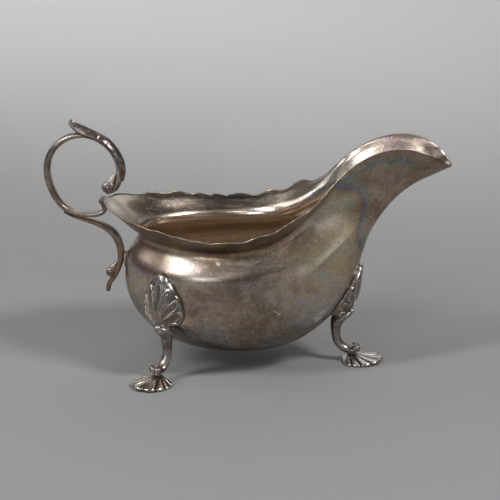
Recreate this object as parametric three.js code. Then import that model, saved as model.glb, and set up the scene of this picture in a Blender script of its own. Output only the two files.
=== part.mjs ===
// Silver sauce boat: a raised oval body drawn out into a deep pouring spout, with a wavy turned-out lip,
// a leaf-capped flying scroll handle and three shell-headed cabriole legs on fan feet.
// Millimetres. X runs from the handle to the spout, Y across the boat, Z up from the table.
import * as THREE from 'three';

// ------------------------------------------------------------------ driving dimensions
const centreShift = 0.6;        // slides everything along X so the handle and the spout tip reach equally far
const wall = 0.9;               // thickness of the raised sheet
const seam = 0.35;              // clearance standing in for a soldered seam

// The body is a skin through rings. A bearing of 0 degrees is the handle end, 90 the side, 180 the spout.
// spread is the half width divided by the sine of the bearing; both tables are [bearing, value].
const keel = { x: -2, z: 5.8 };
const bodyRings = [
  { handleX: -30.4, spoutX: 22.5, spread: [[0, 18.4], [180, 18.4]], height: [[0, 9.8], [180, 11.0]] },
  { handleX: -45.3, spoutX: 35.8, spread: [[0, 29.2], [180, 28.4]], height: [[0, 20.6], [180, 22.0]] },
  { handleX: -51.2, spoutX: 45.4, spread: [[0, 33.0], [180, 30.5]], height: [[0, 36.0], [180, 38.6]] },
  { handleX: -50.8, spoutX: 49.5,
    spread: [[0, 32.6], [60, 33.2], [90, 32.2], [110, 30.2], [130, 27.4], [150, 23.8], [180, 21.0]],
    height: [[0, 42.2], [60, 41.8], [90, 42.4], [110, 44.0], [130, 46.8], [150, 50.4], [180, 53.4]] },
  { handleX: -49.9, spoutX: 57.0,
    spread: [[0, 31.6], [60, 33.0], [90, 30.8], [110, 25.9], [120, 22.6], [133, 19.6], [150, 18.2],
      [180, 17.0]],
    height: [[0, 46.8], [60, 46.5], [90, 47.8], [110, 51.0], [130, 56.8], [150, 63.0], [180, 67.7]] },
  { handleX: -45.6, spoutX: 71.0,
    spread: [[0, 30.6], [40, 31.8], [62, 30.7], [76, 29.0], [90, 24.8], [104, 17.8], [116, 13.4],
      [132, 12.8], [150, 15.0], [180, 18.0]],
    height: [[0, 56.1], [40, 55.6], [62, 55.4], [78, 56.8], [90, 60.2], [104, 68.9], [118, 76.9],
      [132, 82.0], [148, 83.7], [164, 82.2], [180, 80.2]] },
];
const rimRing = {
  handleX: -59.6, spoutX: 83.4,
  spread: [[0, 29.0], [16, 29.6], [26, 31.8], [36, 34.6], [48, 36.0], [60, 35.8], [70, 35.3],
    [80, 33.9], [90, 30.9], [96, 28.0], [102, 22.6], [107, 18.4], [112, 15.9], [120, 15.2],
    [132, 17.1], [146, 22.0], [160, 27.2], [180, 31.5]],
  height: [[0, 68.9], [16, 67.0], [26, 65.9], [36, 64.7], [48, 63.7], [60, 61.9], [70, 60.9],
    [78, 61.2], [86, 63.1], [92, 65.6], [97, 68.4], [101, 71.3], [106, 76.0], [111, 82.7],
    [119, 90.6], [126, 94.3], [133, 95.9], [142, 95.6], [150, 93.9], [160, 90.7], [170, 87.9],
    [180, 86.6]],
};
// Waves cut in the lip between these bearings: [start, end, crest height, cusp at start, cusp at end].
const lipWaves = [
  [10.0, 34.0, 1.2, 0, 0],
  [34.0, 46.8, 0.9, 0, 0],
  [46.8, 57.2, 1.1, 0, 1],
  [57.2, 64.2, 0.9, 1, 1],
  [64.2, 70.6, 0.9, 1, 1],
  [70.6, 81.5, 1.2, 1, 0],
  [81.5, 91.6, 1.2, 0, 0],
  [91.6, 101.1, 2.2, 0, 1],
];

// Handle scrolls, all lying in the plane y = 0: [x, z] along the middle of the strap.
const upperScrollPath = [[-60.1, 66.5], [-59.5, 63.8], [-62.4, 61.7], [-68.8, 61.4], [-75.5, 63.7],
  [-80.4, 70.1], [-83.0, 78.1], [-81.9, 87.0], [-76.5, 93.4], [-68.0, 96.0], [-59.9, 93.1],
  [-54.4, 86.1], [-53.2, 79.0], [-54.5, 74.9], [-56.4, 72.6], [-58.6, 71.8]];
const upperScrollDepth = [[0, 1.9], [0.05, 2.2], [0.12, 1.7], [0.24, 2.5], [0.4, 3.0], [0.56, 2.7],
  [0.68, 2.0], [0.9, 1.9], [1, 0.8]];
const upperScrollWidth = [[0, 3.4], [0.3, 4.4], [0.7, 4.4], [1, 3.4]];
const leafTip = [[-73.2, 102.2], [-71.2, 100.4]];       // the free end, curling up off the scroll
const leafSeat = [0.66, 0.74, 0.82, 0.89, 0.955];       // shares of the upper scroll the leaf lies along
const leafDepth = [[0, 1.2], [0.1, 1.4], [0.3, 1.6], [0.85, 1.5], [1, 0.9]];
const leafWidth = [[0, 1.4], [0.12, 3.6], [0.3, 5.8], [0.7, 6.0], [1, 3.6]];
const upperVolutePath = [[-55.5, 79.9], [-56.6, 77.7], [-57.8, 75.8], [-58.4, 74.4], [-58.6, 72.9]];
const upperVoluteDepth = [[0, 1.2], [0.3, 2.5], [0.55, 3.6], [0.8, 3.6], [1, 1.6]];
const upperVoluteWidth = [[0, 2.6], [0.4, 4.4], [0.75, 5.0], [1, 3.4]];
const lowerScrollPath = [[-76.6, 61.8], [-73.0, 59.95], [-69.0, 59.0], [-65.0, 58.35],
  [-61.2, 57.3], [-57.6, 55.5], [-55.0, 52.6], [-53.5, 48.9], [-53.0, 45.3], [-53.4, 41.6],
  [-54.6, 37.9], [-56.3, 34.6], [-58.3, 31.4], [-58.8, 28.9]];
const lowerScrollDepth = [[0, 0.5], [0.12, 1.1], [0.28, 2.1], [0.5, 3.3], [0.64, 3.0], [0.86, 2.0],
  [1, 1.3]];
const lowerScrollWidth = [[0, 2.8], [0.25, 3.8], [0.6, 4.2], [0.85, 3.4], [1, 2.4]];
const lowerVolutePath = [[-55.9, 41.0], [-57.1, 39.7], [-58.0, 38.0], [-58.5, 36.4], [-58.5, 34.9]];
const lowerVoluteDepth = [[0, 0.8], [0.35, 2.5], [0.6, 3.4], [0.82, 3.2], [1, 1.5]];
const lowerVoluteWidth = [[0, 2.4], [0.5, 4.2], [0.8, 4.2], [1, 2.8]];
const rimCurl = { x: -60.9, z: 68.15, radius: 1.15, width: 4.0 };
const lug = { z: 42.0, height: 5.0, width: 3.2, farX: -51.45 };

// Legs: where the shaft stands, the way its toe points, how much taller than the front leg it is,
// and the height its shell reaches on the body.
const legs = [
  { name: 'front', x: 37.5, y: 0, bearing: 0, footTurn: 7, stretch: 1.0, splay: 1.0, shellTop: 43.6,
    shellShift: 0 },
  { name: 'rear_left', x: -30.6, y: 26.3, bearing: 122, footTurn: 6, stretch: 1.08, splay: 0.93,
    shellTop: 46.0, shellShift: 1.6 },
  { name: 'rear_right', x: -30.6, y: -26.3, bearing: -122, footTurn: -6, stretch: 1.08, splay: 0.93,
    shellTop: 46.0, shellShift: -1.6 },
];
// Shaft stations from the knee to the ankle roll: inner reach and height, outer reach and height, half width.
// Reach is measured outward from the standing point of the shaft.
const shaftStations = [
  [-1.2, 21.7, 6.2, 22.2, 3.1],
  [-1.5, 20.9, 6.9, 21.3, 3.6],
  [-2.0, 19.4, 5.3, 19.5, 3.2],
  [-2.3, 17.2, 3.2, 17.3, 2.6],
  [-2.15, 14.3, 2.05, 14.4, 2.3],
  [-1.75, 11.4, 2.05, 11.4, 2.2],
  [-1.0, 8.6, 3.0, 9.0, 2.2],
  [0.7, 6.1, 4.4, 7.6, 2.2],
  [3.4, 4.1, 5.9, 7.0, 2.3],
  [6.6, 4.0, 7.1, 7.2, 2.8],
  [8.3, 4.2, 8.4, 7.3, 3.0],
  [9.5, 4.9, 9.5, 6.7, 2.5],
];
const ankleStations = 4;        // the lowest stations keep their heights whatever the stretch
// Outline of the shell about its root: [angle from upright, reach] on a shell 21.5 tall.
const shellEdge = [[0, 21.3], [8, 20.2], [14, 18.4], [20, 16.9], [35, 14.3], [43, 13.1], [59, 10.9],
  [78, 9.0], [95, 7.2]];
// Lobes counted outward from the middle one at an angle: whole at lobe centres, halves where two lobes meet.
const shellLobes = [[0, 0], [9.5, 0.5], [27, 1.5], [48, 2.5], [77, 3.5], [95, 4.1]];
const shellPlate = 1.4;         // thickness of the shell at its edge
const shellRise = 5.8;          // how far the root of the shell stands out from the body
const footRoot = 5.6;           // reach of the centre the foot's flutes fan out from
const footFlutes = 9;
const flutedAngle = 216;        // the flutes fill this much of the foot, the rest is plain heel
const footFan = [[0, 14.4], [20, 13.4], [40, 11.4], [60, 9.4], [80, 7.8], [107, 6.0], [130, 4.2],
  [150, 3.2], [180, 2.7]];

// ------------------------------------------------------------------ curves
// Cubic spline through knots. An end slope of null leaves that end free (no bending there).
function splineThrough(knots, values, startSlope = null, endSlope = null) {
  const n = knots.length;
  const lower = new Array(n).fill(0);
  const middle = new Array(n).fill(1);
  const upper = new Array(n).fill(0);
  const right = new Array(n).fill(0);
  for (let i = 1; i < n - 1; i += 1) {
    const before = knots[i] - knots[i - 1];
    const after = knots[i + 1] - knots[i];
    lower[i] = before;
    middle[i] = 2 * (before + after);
    upper[i] = after;
    right[i] = 6 * ((values[i + 1] - values[i]) / after - (values[i] - values[i - 1]) / before);
  }
  if (startSlope !== null) {
    const step = knots[1] - knots[0];
    middle[0] = 2 * step;
    upper[0] = step;
    right[0] = 6 * ((values[1] - values[0]) / step - startSlope);
  }
  if (endSlope !== null) {
    const step = knots[n - 1] - knots[n - 2];
    lower[n - 1] = step;
    middle[n - 1] = 2 * step;
    right[n - 1] = 6 * (endSlope - (values[n - 1] - values[n - 2]) / step);
  }
  for (let i = 1; i < n; i += 1) {
    const factor = lower[i] / middle[i - 1];
    middle[i] -= factor * upper[i - 1];
    right[i] -= factor * right[i - 1];
  }
  const bend = new Array(n).fill(0);
  bend[n - 1] = right[n - 1] / middle[n - 1];
  for (let i = n - 2; i >= 0; i -= 1) {
    bend[i] = (right[i] - upper[i] * bend[i + 1]) / middle[i];
  }
  return (t) => {
    let i = 0;
    while (i < n - 2 && t > knots[i + 1]) i += 1;
    const step = knots[i + 1] - knots[i];
    const a = (knots[i + 1] - t) / step;
    const b = (t - knots[i]) / step;
    const curved = ((a * a * a - a) * bend[i] + (b * b * b - b) * bend[i + 1]) * step * step / 6;
    return a * values[i] + b * values[i + 1] + curved;
  };
}
const table = (rows) => splineThrough(rows.map((r) => r[0]), rows.map((r) => r[1]), 0, 0);
const softTable = (rows) => splineThrough(rows.map((r) => r[0]), rows.map((r) => r[1]));

// A smooth curve through points in the plane y = 0, with its parameter running 0 to 1 along its length.
function planeCurve(points) {
  const along = [0];
  for (let i = 1; i < points.length; i += 1) {
    along.push(along[i - 1] + Math.hypot(points[i][0] - points[i - 1][0], points[i][1] - points[i - 1][1]));
  }
  const total = along[along.length - 1];
  const knots = along.map((d) => d / total);
  const x = splineThrough(knots, points.map((p) => p[0]));
  const z = splineThrough(knots, points.map((p) => p[1]));
  return (t) => {
    const d = 1e-3;
    const a = Math.max(0, t - d);
    const b = Math.min(1, t + d);
    const tangent = new THREE.Vector3(x(b) - x(a), 0, z(b) - z(a)).normalize();
    return { point: new THREE.Vector3(x(t), 0, z(t)), tangent };
  };
}

// ------------------------------------------------------------------ solids
// Closes a stack of equal closed rings into one solid, each end fanned to its centre point.
function loft(rings, startApex = null, endApex = null) {
  const count = rings[0].length;
  const positions = [];
  const indices = [];
  rings.forEach((ring) => ring.forEach((p) => positions.push(p.x, p.y, p.z)));
  const centreOf = (ring) => {
    const centre = new THREE.Vector3();
    ring.forEach((p) => centre.add(p));
    return centre.multiplyScalar(1 / ring.length);
  };
  const first = startApex || centreOf(rings[0]);
  const last = endApex || centreOf(rings[rings.length - 1]);
  const firstIndex = positions.length / 3;
  positions.push(first.x, first.y, first.z);
  const lastIndex = positions.length / 3;
  positions.push(last.x, last.y, last.z);
  for (let r = 0; r < rings.length - 1; r += 1) {
    for (let i = 0; i < count; i += 1) {
      const a = r * count + i;
      const b = r * count + (i + 1) % count;
      const c = a + count;
      const d = b + count;
      indices.push(a, b, d);
      indices.push(a, d, c);
    }
  }
  const top = (rings.length - 1) * count;
  for (let i = 0; i < count; i += 1) {
    const next = (i + 1) % count;
    indices.push(firstIndex, next, i);
    indices.push(lastIndex, top + i, top + next);
  }
  const volume = signedVolume(positions, indices);
  if (volume < 0) {
    for (let i = 0; i < indices.length; i += 3) {
      const swap = indices[i];
      indices[i] = indices[i + 1];
      indices[i + 1] = swap;
    }
  }
  const geometry = new THREE.BufferGeometry();
  geometry.setAttribute('position', new THREE.Float32BufferAttribute(positions, 3));
  geometry.setIndex(indices);
  geometry.translate(centreShift, 0, 0);
  geometry.computeVertexNormals();
  return geometry;
}

function signedVolume(positions, indices) {
  const a = new THREE.Vector3();
  const b = new THREE.Vector3();
  const c = new THREE.Vector3();
  let sum = 0;
  for (let i = 0; i < indices.length; i += 3) {
    a.fromArray(positions, indices[i] * 3);
    b.fromArray(positions, indices[i + 1] * 3);
    c.fromArray(positions, indices[i + 2] * 3);
    sum += a.dot(b.cross(c)) / 6;
  }
  return sum;
}

// ------------------------------------------------------------------ body skin
const radians = (degrees) => degrees * Math.PI / 180;

function ringCurve(ring) {
  const spread = table(ring.spread);
  const height = table(ring.height);
  const middle = (ring.handleX + ring.spoutX) / 2;
  const half = (ring.spoutX - ring.handleX) / 2;
  return (bearing) => new THREE.Vector3(
    middle - half * Math.cos(radians(bearing)),
    -spread(bearing) * Math.sin(radians(bearing)),
    height(bearing),
  );
}
const ringCurves = bodyRings.map(ringCurve);
const rimCurve = ringCurve(rimRing);

function lipWave(bearing) {
  for (const [start, end, crest, cuspStart, cuspEnd] of lipWaves) {
    if (bearing >= start && bearing <= end) {
      const t = (bearing - start) / (end - start);
      const cusp = Math.sin(Math.PI * t);
      const smooth = (1 - Math.cos(2 * Math.PI * t)) / 2;
      const share = cuspStart * (1 - t) + cuspEnd * t;
      return crest * (cusp * share + smooth * (1 - share));
    }
  }
  return 0;
}

// One rib of the body from the keel to the lip: six rings, two points up the lip, and the lip edge.
const ribCache = new Map();
function rib(bearing) {
  const key = bearing.toFixed(6);
  if (ribCache.has(key)) return ribCache.get(key);
  const points = [new THREE.Vector3(keel.x, 0, keel.z)];
  ringCurves.forEach((curve) => points.push(curve(bearing)));
  const neck = points[points.length - 1];
  const edge = rimCurve(bearing);
  const outward = edge.clone().sub(neck).normalize();
  const turn = neck.clone().lerp(edge, 0.22);
  const broad = neck.clone().lerp(edge, 0.6);
  edge.addScaledVector(outward, lipWave(bearing));
  points.push(turn, broad, edge);
  const along = [0];
  for (let i = 1; i < points.length; i += 1) {
    along.push(along[i - 1] + points[i].distanceTo(points[i - 1]));
  }
  const start = new THREE.Vector3(points[1].x - keel.x, points[1].y, 0).normalize();
  const curve = {
    x: splineThrough(along, points.map((p) => p.x), start.x),
    y: splineThrough(along, points.map((p) => p.y), start.y),
    z: splineThrough(along, points.map((p) => p.z), 0),
    along,
  };
  ribCache.set(key, curve);
  return curve;
}

// Level 0 is the keel, 1 to 6 the rings, 7 and 8 partway up the lip, 9 the lip edge.
function skin(bearing, level) {
  const mirrored = ((bearing % 360) + 360) % 360;
  const side = mirrored > 180 ? -1 : 1;
  const curve = rib(mirrored > 180 ? 360 - mirrored : mirrored);
  const whole = Math.min(8, Math.floor(level));
  const t = curve.along[whole] + (level - whole) * (curve.along[whole + 1] - curve.along[whole]);
  return new THREE.Vector3(curve.x(t), side * curve.y(t), curve.z(t));
}

function skinNormal(bearing, level) {
  const d = 0.05;
  const lowLevel = Math.max(0.02, level - 0.02);
  const highLevel = Math.min(9, level + 0.02);
  const across = skin(bearing + d, level).sub(skin(bearing - d, level));
  const up = skin(bearing, highLevel).sub(skin(bearing, lowLevel));
  return across.cross(up).normalize();
}

// Bearings used for the ribs: quarter points of every lip wave, then even steps round the spout.
function ribBearings() {
  const half = [0, 5];
  lipWaves.forEach(([start, end]) => {
    for (let q = 0; q < 4; q += 1) half.push(start + (end - start) * q / 4);
  });
  half.push(101.1);
  for (let b = 104.5; b < 179; b += 4.2) half.push(b);
  half.push(180);
  const mirrored = half.slice(1, -1).reverse().map((b) => 360 - b);
  return half.concat(mirrored);
}

function makeBowl() {
  const bearings = ribBearings();
  const levels = [0.4, 1, 1.5, 2, 2.5, 3, 3.5, 4, 4.6, 5.2, 5.7, 6.1, 7, 8, 9];
  const outer = levels.map((level) => bearings.map((bearing) => skin(bearing, level)));
  const inner = levels.map((level) => bearings.map((bearing) => {
    return skin(bearing, level).addScaledVector(skinNormal(bearing, level), -wall);
  })).reverse();
  const outerKeel = new THREE.Vector3(keel.x, 0, keel.z);
  const innerKeel = new THREE.Vector3(keel.x, 0, keel.z + wall);
  return loft([...outer, ...inner], outerKeel, innerKeel);
}

// The body point at a given height, off to one side of a leg's centre plane.
function bodyPoint(leg, aside, height) {
  const toe = new THREE.Vector3(Math.cos(radians(leg.bearing)), Math.sin(radians(leg.bearing)), 0);
  const across = new THREE.Vector3(-toe.y, toe.x, 0);
  let bearing = 180 - leg.bearing;
  if (leg.bearing !== 0) bearing = leg.bearing > 0 ? 360 - 52 : 52;
  let level = 2.3;
  const miss = (b, l) => {
    const p = skin(b, l);
    return [(p.x - leg.x) * across.x + (p.y - leg.y) * across.y - aside, p.z - height];
  };
  for (let round = 0; round < 12; round += 1) {
    const here = miss(bearing, level);
    const alongBearing = miss(bearing + 0.05, level);
    const alongLevel = miss(bearing, level + 0.002);
    const a = (alongBearing[0] - here[0]) / 0.05;
    const b = (alongLevel[0] - here[0]) / 0.002;
    const c = (alongBearing[1] - here[1]) / 0.05;
    const d = (alongLevel[1] - here[1]) / 0.002;
    const scale = a * d - b * c;
    bearing -= (d * here[0] - b * here[1]) / scale;
    level = Math.min(5.5, Math.max(0.6, level - (a * here[1] - c * here[0]) / scale));
  }
  const normal = skinNormal(bearing, level);
  return { point: skin(bearing, level), normal, toe, across };
}

// ------------------------------------------------------------------ handle
// Sweeps a rounded strap section along a plane curve.
function strap(path, depthTable, widthTable, steps) {
  const points = 12;
  const curve = planeCurve(path);
  const depth = softTable(depthTable);
  const width = softTable(widthTable);
  const rings = [];
  for (let s = 0; s <= steps; s += 1) {
    const t = s / steps;
    const { point, tangent } = curve(t);
    const outward = new THREE.Vector3(-tangent.z, 0, tangent.x);
    const ring = [];
    for (let i = 0; i < points; i += 1) {
      const angle = 2 * Math.PI * i / points;
      const squared = Math.sign(Math.sin(angle)) * Math.abs(Math.sin(angle)) ** 0.75;
      const across = Math.sign(Math.cos(angle)) * Math.abs(Math.cos(angle)) ** 0.75 * width(t) / 2;
      const reach = squared * depth(t) / 2;
      ring.push(point.clone().addScaledVector(outward, reach).add(new THREE.Vector3(0, across, 0)));
    }
    rings.push(ring);
  }
  return loft(rings);
}

// The leaf is a saddle over the outside of the scroll: arched across, with its edges turned down past
// the strap.
function makeThumbLeaf() {
  const depth = softTable(leafDepth);
  const scroll = planeCurve(upperScrollPath);
  const scrollDepth = softTable(upperScrollDepth);
  const seats = leafSeat.map((t) => {
    const { point, tangent } = scroll(t);
    const reach = scrollDepth(t) / 2 + 0.32 + 0.62 * 1.45;
    return [point.x - tangent.z * reach, point.z + tangent.x * reach];
  });
  const curve = planeCurve([...leafTip, ...seats]);
  const width = softTable(leafWidth);
  const rings = [];
  const steps = 20;
  const half = 6;
  for (let s = 0; s <= steps; s += 1) {
    const t = s / steps;
    const { point, tangent } = curve(t);
    const outward = new THREE.Vector3(-tangent.z, 0, tangent.x);
    const notch = 1 - 0.06 * Math.abs(Math.sin(Math.PI * 8 * t));
    const ring = [];
    for (let i = -half; i <= half; i += 1) {
      const a = i / half;
      const reach = depth(t) * (0.5 - 0.95 * a * a);
      const edge = new THREE.Vector3(0, a * width(t) / 2 * notch, 0);
      ring.push(point.clone().addScaledVector(outward, reach).add(edge));
    }
    for (let i = half - 1; i >= 1 - half; i -= 1) {
      const a = i / half;
      const reach = -depth(t) * (0.5 + 0.35 * a * a * a * a);
      const edge = new THREE.Vector3(0, a * width(t) / 2 * 0.94, 0);
      ring.push(point.clone().addScaledVector(outward, reach).add(edge));
    }
    rings.push(ring);
  }
  return loft(rings);
}

function makeRoll(centre, radius, width, points = 16) {
  const rings = [];
  const stations = [[-0.5, 0.45], [-0.42, 0.85], [-0.25, 1.0], [0, 1.0], [0.25, 1.0], [0.42, 0.85],
    [0.5, 0.45]];
  stations.forEach(([place, size]) => {
    const ring = [];
    for (let i = 0; i < points; i += 1) {
      const angle = 2 * Math.PI * i / points;
      ring.push(new THREE.Vector3(
        centre.x + radius * size * Math.cos(angle),
        place * width,
        centre.z + radius * size * Math.sin(angle),
      ));
    }
    rings.push(ring);
  });
  return loft(rings);
}

// A small pad filling the space between the lower scroll and the body, its inner face following the body.
function makeLug() {
  const rings = [];
  const around = 16;
  const outline = (i, scale) => {
    const angle = 2 * Math.PI * i / around;
    return [scale * lug.width / 2 * Math.cos(angle), lug.z + scale * lug.height / 2 * Math.sin(angle)];
  };
  const bodyX = (y, z) => {
    let level = 3.5;
    let bearing = 0;
    for (let round = 0; round < 10; round += 1) {
      const p = skin(bearing, level);
      const q = skin(bearing, level + 0.01);
      level -= (p.z - z) / ((q.z - p.z) / 0.01);
      bearing += (p.y - y) / 0.55;
    }
    return skin(bearing, level).x;
  };
  const near = [];
  const far = [];
  for (const scale of [0.5, 0.9, 1]) {
    const nearRing = [];
    const farRing = [];
    for (let i = 0; i < around; i += 1) {
      const [y, z] = outline(i, scale);
      const inset = scale === 1 ? 0.12 : 0;
      nearRing.push(new THREE.Vector3(bodyX(y, z) - seam + 0.05 - inset, y, z));
      farRing.push(new THREE.Vector3(lug.farX + inset, y, z));
    }
    near.push(nearRing);
    far.push(farRing);
  }
  return loft([...near, ...far.reverse()]);
}

// ------------------------------------------------------------------ legs
const legAt = (leg, reach, aside, height) => {
  // reach runs out from the standing point of the shaft, aside across it
  const toe = new THREE.Vector3(Math.cos(radians(leg.bearing)), Math.sin(radians(leg.bearing)), 0);
  const across = new THREE.Vector3(-toe.y, toe.x, 0);
  const point = new THREE.Vector3(leg.x, leg.y, height);
  return point.addScaledVector(toe, reach * leg.splay).addScaledVector(across, aside);
};

function makeShaft(leg) {
  const points = 16;
  const rings = shaftStations.map(([innerReach, innerHeight, outerReach, outerHeight, halfWidth], s) => {
    const stretched = s < shaftStations.length - ankleStations ? 1 : 0;
    const lift = (h) => h + (leg.stretch - 1) * Math.max(0, h - 7) * stretched * 21.5 / 14.5;
    const inner = { reach: innerReach, height: lift(innerHeight) };
    const outer = { reach: outerReach, height: lift(outerHeight) };
    if (inner.height > 15) {
      const { point, toe } = bodyPoint(leg, 0, inner.height);
      const bodyReach = (point.x - leg.x) * toe.x + (point.y - leg.y) * toe.y;
      inner.reach = Math.max(inner.reach, bodyReach + seam * 1.4);
    }
    const ring = [];
    for (let i = 0; i < points; i += 1) {
      const angle = 2 * Math.PI * i / points;
      const k = (1 + Math.cos(angle)) / 2;
      const reach = inner.reach + (outer.reach - inner.reach) * k;
      const height = inner.height + (outer.height - inner.height) * k;
      ring.push(legAt(leg, reach, halfWidth * Math.sin(angle), height));
    }
    return ring;
  });
  return loft(rings);
}

// Reach of the scalloped shell outline at an angle from upright.
const shellReach = table(shellEdge);
function lobeNumber(angle) {
  const off = Math.abs(angle);
  let i = 0;
  while (i < shellLobes.length - 2 && off > shellLobes[i + 1][0]) i += 1;
  const [fromAngle, fromCount] = shellLobes[i];
  const [toAngle, toCount] = shellLobes[i + 1];
  return fromCount + (toCount - fromCount) * (off - fromAngle) / (toAngle - fromAngle);
}
function shellOutline(angle) {
  const arch = Math.abs(Math.cos(Math.PI * lobeNumber(angle)));
  return shellReach(Math.abs(angle)) * (0.965 + 0.035 * arch ** 0.7);
}

function makeKneeShell(leg) {
  const rootHeight = (leg.stretch - 1) * 21.5 + 23.1;
  const tall = leg.shellTop - rootHeight;
  const rings = [];
  const around = 45;
  const place = (angle, share, bottom) => {
    const reach = shellOutline(angle) * share;
    const up = Math.max(0, reach * Math.cos(radians(angle))) / 21.5;
    const sideways = reach * Math.sin(radians(angle));
    const aside = sideways + leg.shellShift * Math.min(1, up * 3 + Math.abs(sideways) / 8);
    const { point, normal, toe } = bodyPoint(leg, aside, rootHeight + up * tall);
    point.addScaledVector(normal, seam);
    if (bottom) return point;
    const level = new THREE.Vector3(normal.x, normal.y, 0).normalize();
    const bulge = shellRise * (1 - up) ** 1.1 * Math.max(0, 1 - (sideways / 9) ** 2);
    const flute = -0.3 * Math.cos(2 * Math.PI * lobeNumber(angle)) * share;
    return point.addScaledVector(level, shellPlate).addScaledVector(toe, (bulge + flute) * (1 - share ** 8));
  };
  const angles = [];
  for (let i = 0; i < around; i += 1) {
    angles.push(-95 + 190 * i / (around - 1));
  }
  const shares = [0.14, 0.35, 0.58, 0.8, 1];
  shares.forEach((share) => rings.push(angles.map((angle) => place(angle, share, false))));
  shares.slice().reverse().forEach((share) => rings.push(angles.map((angle) => place(angle, share, true))));
  return loft(rings);
}

function makeFoot(leg) {
  const rings = [];
  const around = 60;
  const fan = softTable(footFan);
  const outline = (angle) => {
    const off = Math.abs(angle);
    const flute = Math.abs(Math.cos(Math.PI * footFlutes * off / flutedAngle));
    const scallop = off < flutedAngle / 2 ? 0.94 + 0.06 * flute : 0.97;
    return fan(off) * scallop;
  };
  const place = (angle, share, bottom) => {
    const off = Math.abs(angle);
    const reach = outline(angle) * share;
    const curl = Math.max(0, share - 0.55) ** 2 * 5.4 * Math.max(0, Math.cos(radians(angle))) ** 3;
    const ripple = 0.3 * Math.cos(2 * Math.PI * footFlutes * off / flutedAngle) * share;
    const flute = off < flutedAngle / 2 ? ripple : 0;
    const slope = Math.max(0, (share - 0.22) / 0.78);
    let height = 3.6 - 2.75 * slope ** 0.8 + flute + curl * 0.8;
    if (bottom) height = share > 0.75 ? curl * 0.8 : 0;
    const x = reach * Math.cos(radians(angle));
    const y = reach * Math.sin(radians(angle));
    const turn = radians(leg.footTurn);
    const outward = footRoot + x * Math.cos(turn) - y * Math.sin(turn);
    const aside = x * Math.sin(turn) + y * Math.cos(turn);
    return legAt(leg, outward, aside, height);
  };
  const angles = [];
  for (let i = 0; i < around; i += 1) angles.push(-180 + 360 * i / around);
  const topShares = [0.22, 0.45, 0.7, 0.9, 1];
  const bottomShares = [0.96, 0.72];
  topShares.forEach((share) => rings.push(angles.map((angle) => place(angle, share, false))));
  bottomShares.forEach((share) => rings.push(angles.map((angle) => place(angle, share, true))));
  return loft(rings);
}

// ------------------------------------------------------------------ assembly
const boat = new THREE.Group();
boat.name = 'sauce_boat';

function addPiece(name, geometry, colour, roughness) {
  const material = new THREE.MeshStandardMaterial({ color: colour, roughness, metalness: 1 });
  material.name = `${name}_silver`;
  const mesh = new THREE.Mesh(geometry, material);
  mesh.name = name;
  boat.add(mesh);
}

addPiece('bowl', makeBowl(), 0x9a9286, 0.32);
const upperScroll = strap(upperScrollPath, upperScrollDepth, upperScrollWidth, 42);
const lowerScroll = strap(lowerScrollPath, lowerScrollDepth, lowerScrollWidth, 26);
addPiece('handle_upper_scroll', upperScroll, 0x8f8880, 0.38);
addPiece('thumb_leaf', makeThumbLeaf(), 0x8b8278, 0.42);
addPiece('upper_volute', strap(upperVolutePath, upperVoluteDepth, upperVoluteWidth, 12), 0x8f867b, 0.38);
addPiece('rim_curl', makeRoll(rimCurl, rimCurl.radius, rimCurl.width), 0x928a80, 0.38);
addPiece('handle_lower_scroll', lowerScroll, 0x8c7f70, 0.38);
addPiece('lower_volute', strap(lowerVolutePath, lowerVoluteDepth, lowerVoluteWidth, 10), 0x8c7f70, 0.38);
addPiece('handle_lug', makeLug(), 0x86807a, 0.45);
legs.forEach((leg) => {
  addPiece(`${leg.name}_knee_shell`, makeKneeShell(leg), 0x857c73, 0.42);
  addPiece(`${leg.name}_leg`, makeShaft(leg), 0x8a8178, 0.38);
  addPiece(`${leg.name}_foot`, makeFoot(leg), 0x7f776f, 0.42);
});

export default boat;
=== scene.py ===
import math

import bpy
import numpy as np
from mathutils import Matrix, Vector


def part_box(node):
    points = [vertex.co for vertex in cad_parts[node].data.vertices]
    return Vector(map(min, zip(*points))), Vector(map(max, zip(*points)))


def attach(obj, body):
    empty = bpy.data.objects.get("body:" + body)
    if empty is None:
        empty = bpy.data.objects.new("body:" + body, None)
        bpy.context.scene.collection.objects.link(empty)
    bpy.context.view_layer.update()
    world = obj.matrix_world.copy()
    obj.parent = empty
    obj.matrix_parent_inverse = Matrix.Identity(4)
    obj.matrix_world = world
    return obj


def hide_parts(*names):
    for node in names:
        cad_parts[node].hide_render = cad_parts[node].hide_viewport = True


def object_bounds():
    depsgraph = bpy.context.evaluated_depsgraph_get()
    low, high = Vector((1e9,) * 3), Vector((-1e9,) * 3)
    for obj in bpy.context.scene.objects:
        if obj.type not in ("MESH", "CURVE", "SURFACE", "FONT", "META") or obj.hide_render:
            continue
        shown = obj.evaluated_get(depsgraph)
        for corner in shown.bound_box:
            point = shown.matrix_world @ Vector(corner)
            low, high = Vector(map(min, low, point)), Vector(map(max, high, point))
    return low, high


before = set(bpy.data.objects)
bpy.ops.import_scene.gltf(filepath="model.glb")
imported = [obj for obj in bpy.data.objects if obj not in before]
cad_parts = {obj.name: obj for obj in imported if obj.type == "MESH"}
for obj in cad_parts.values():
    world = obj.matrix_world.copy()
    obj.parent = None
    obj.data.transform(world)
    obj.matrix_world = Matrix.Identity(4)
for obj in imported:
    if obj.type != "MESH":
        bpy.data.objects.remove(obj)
cad_low, cad_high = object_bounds()
MM = 0.001
scene = bpy.context.scene

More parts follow.
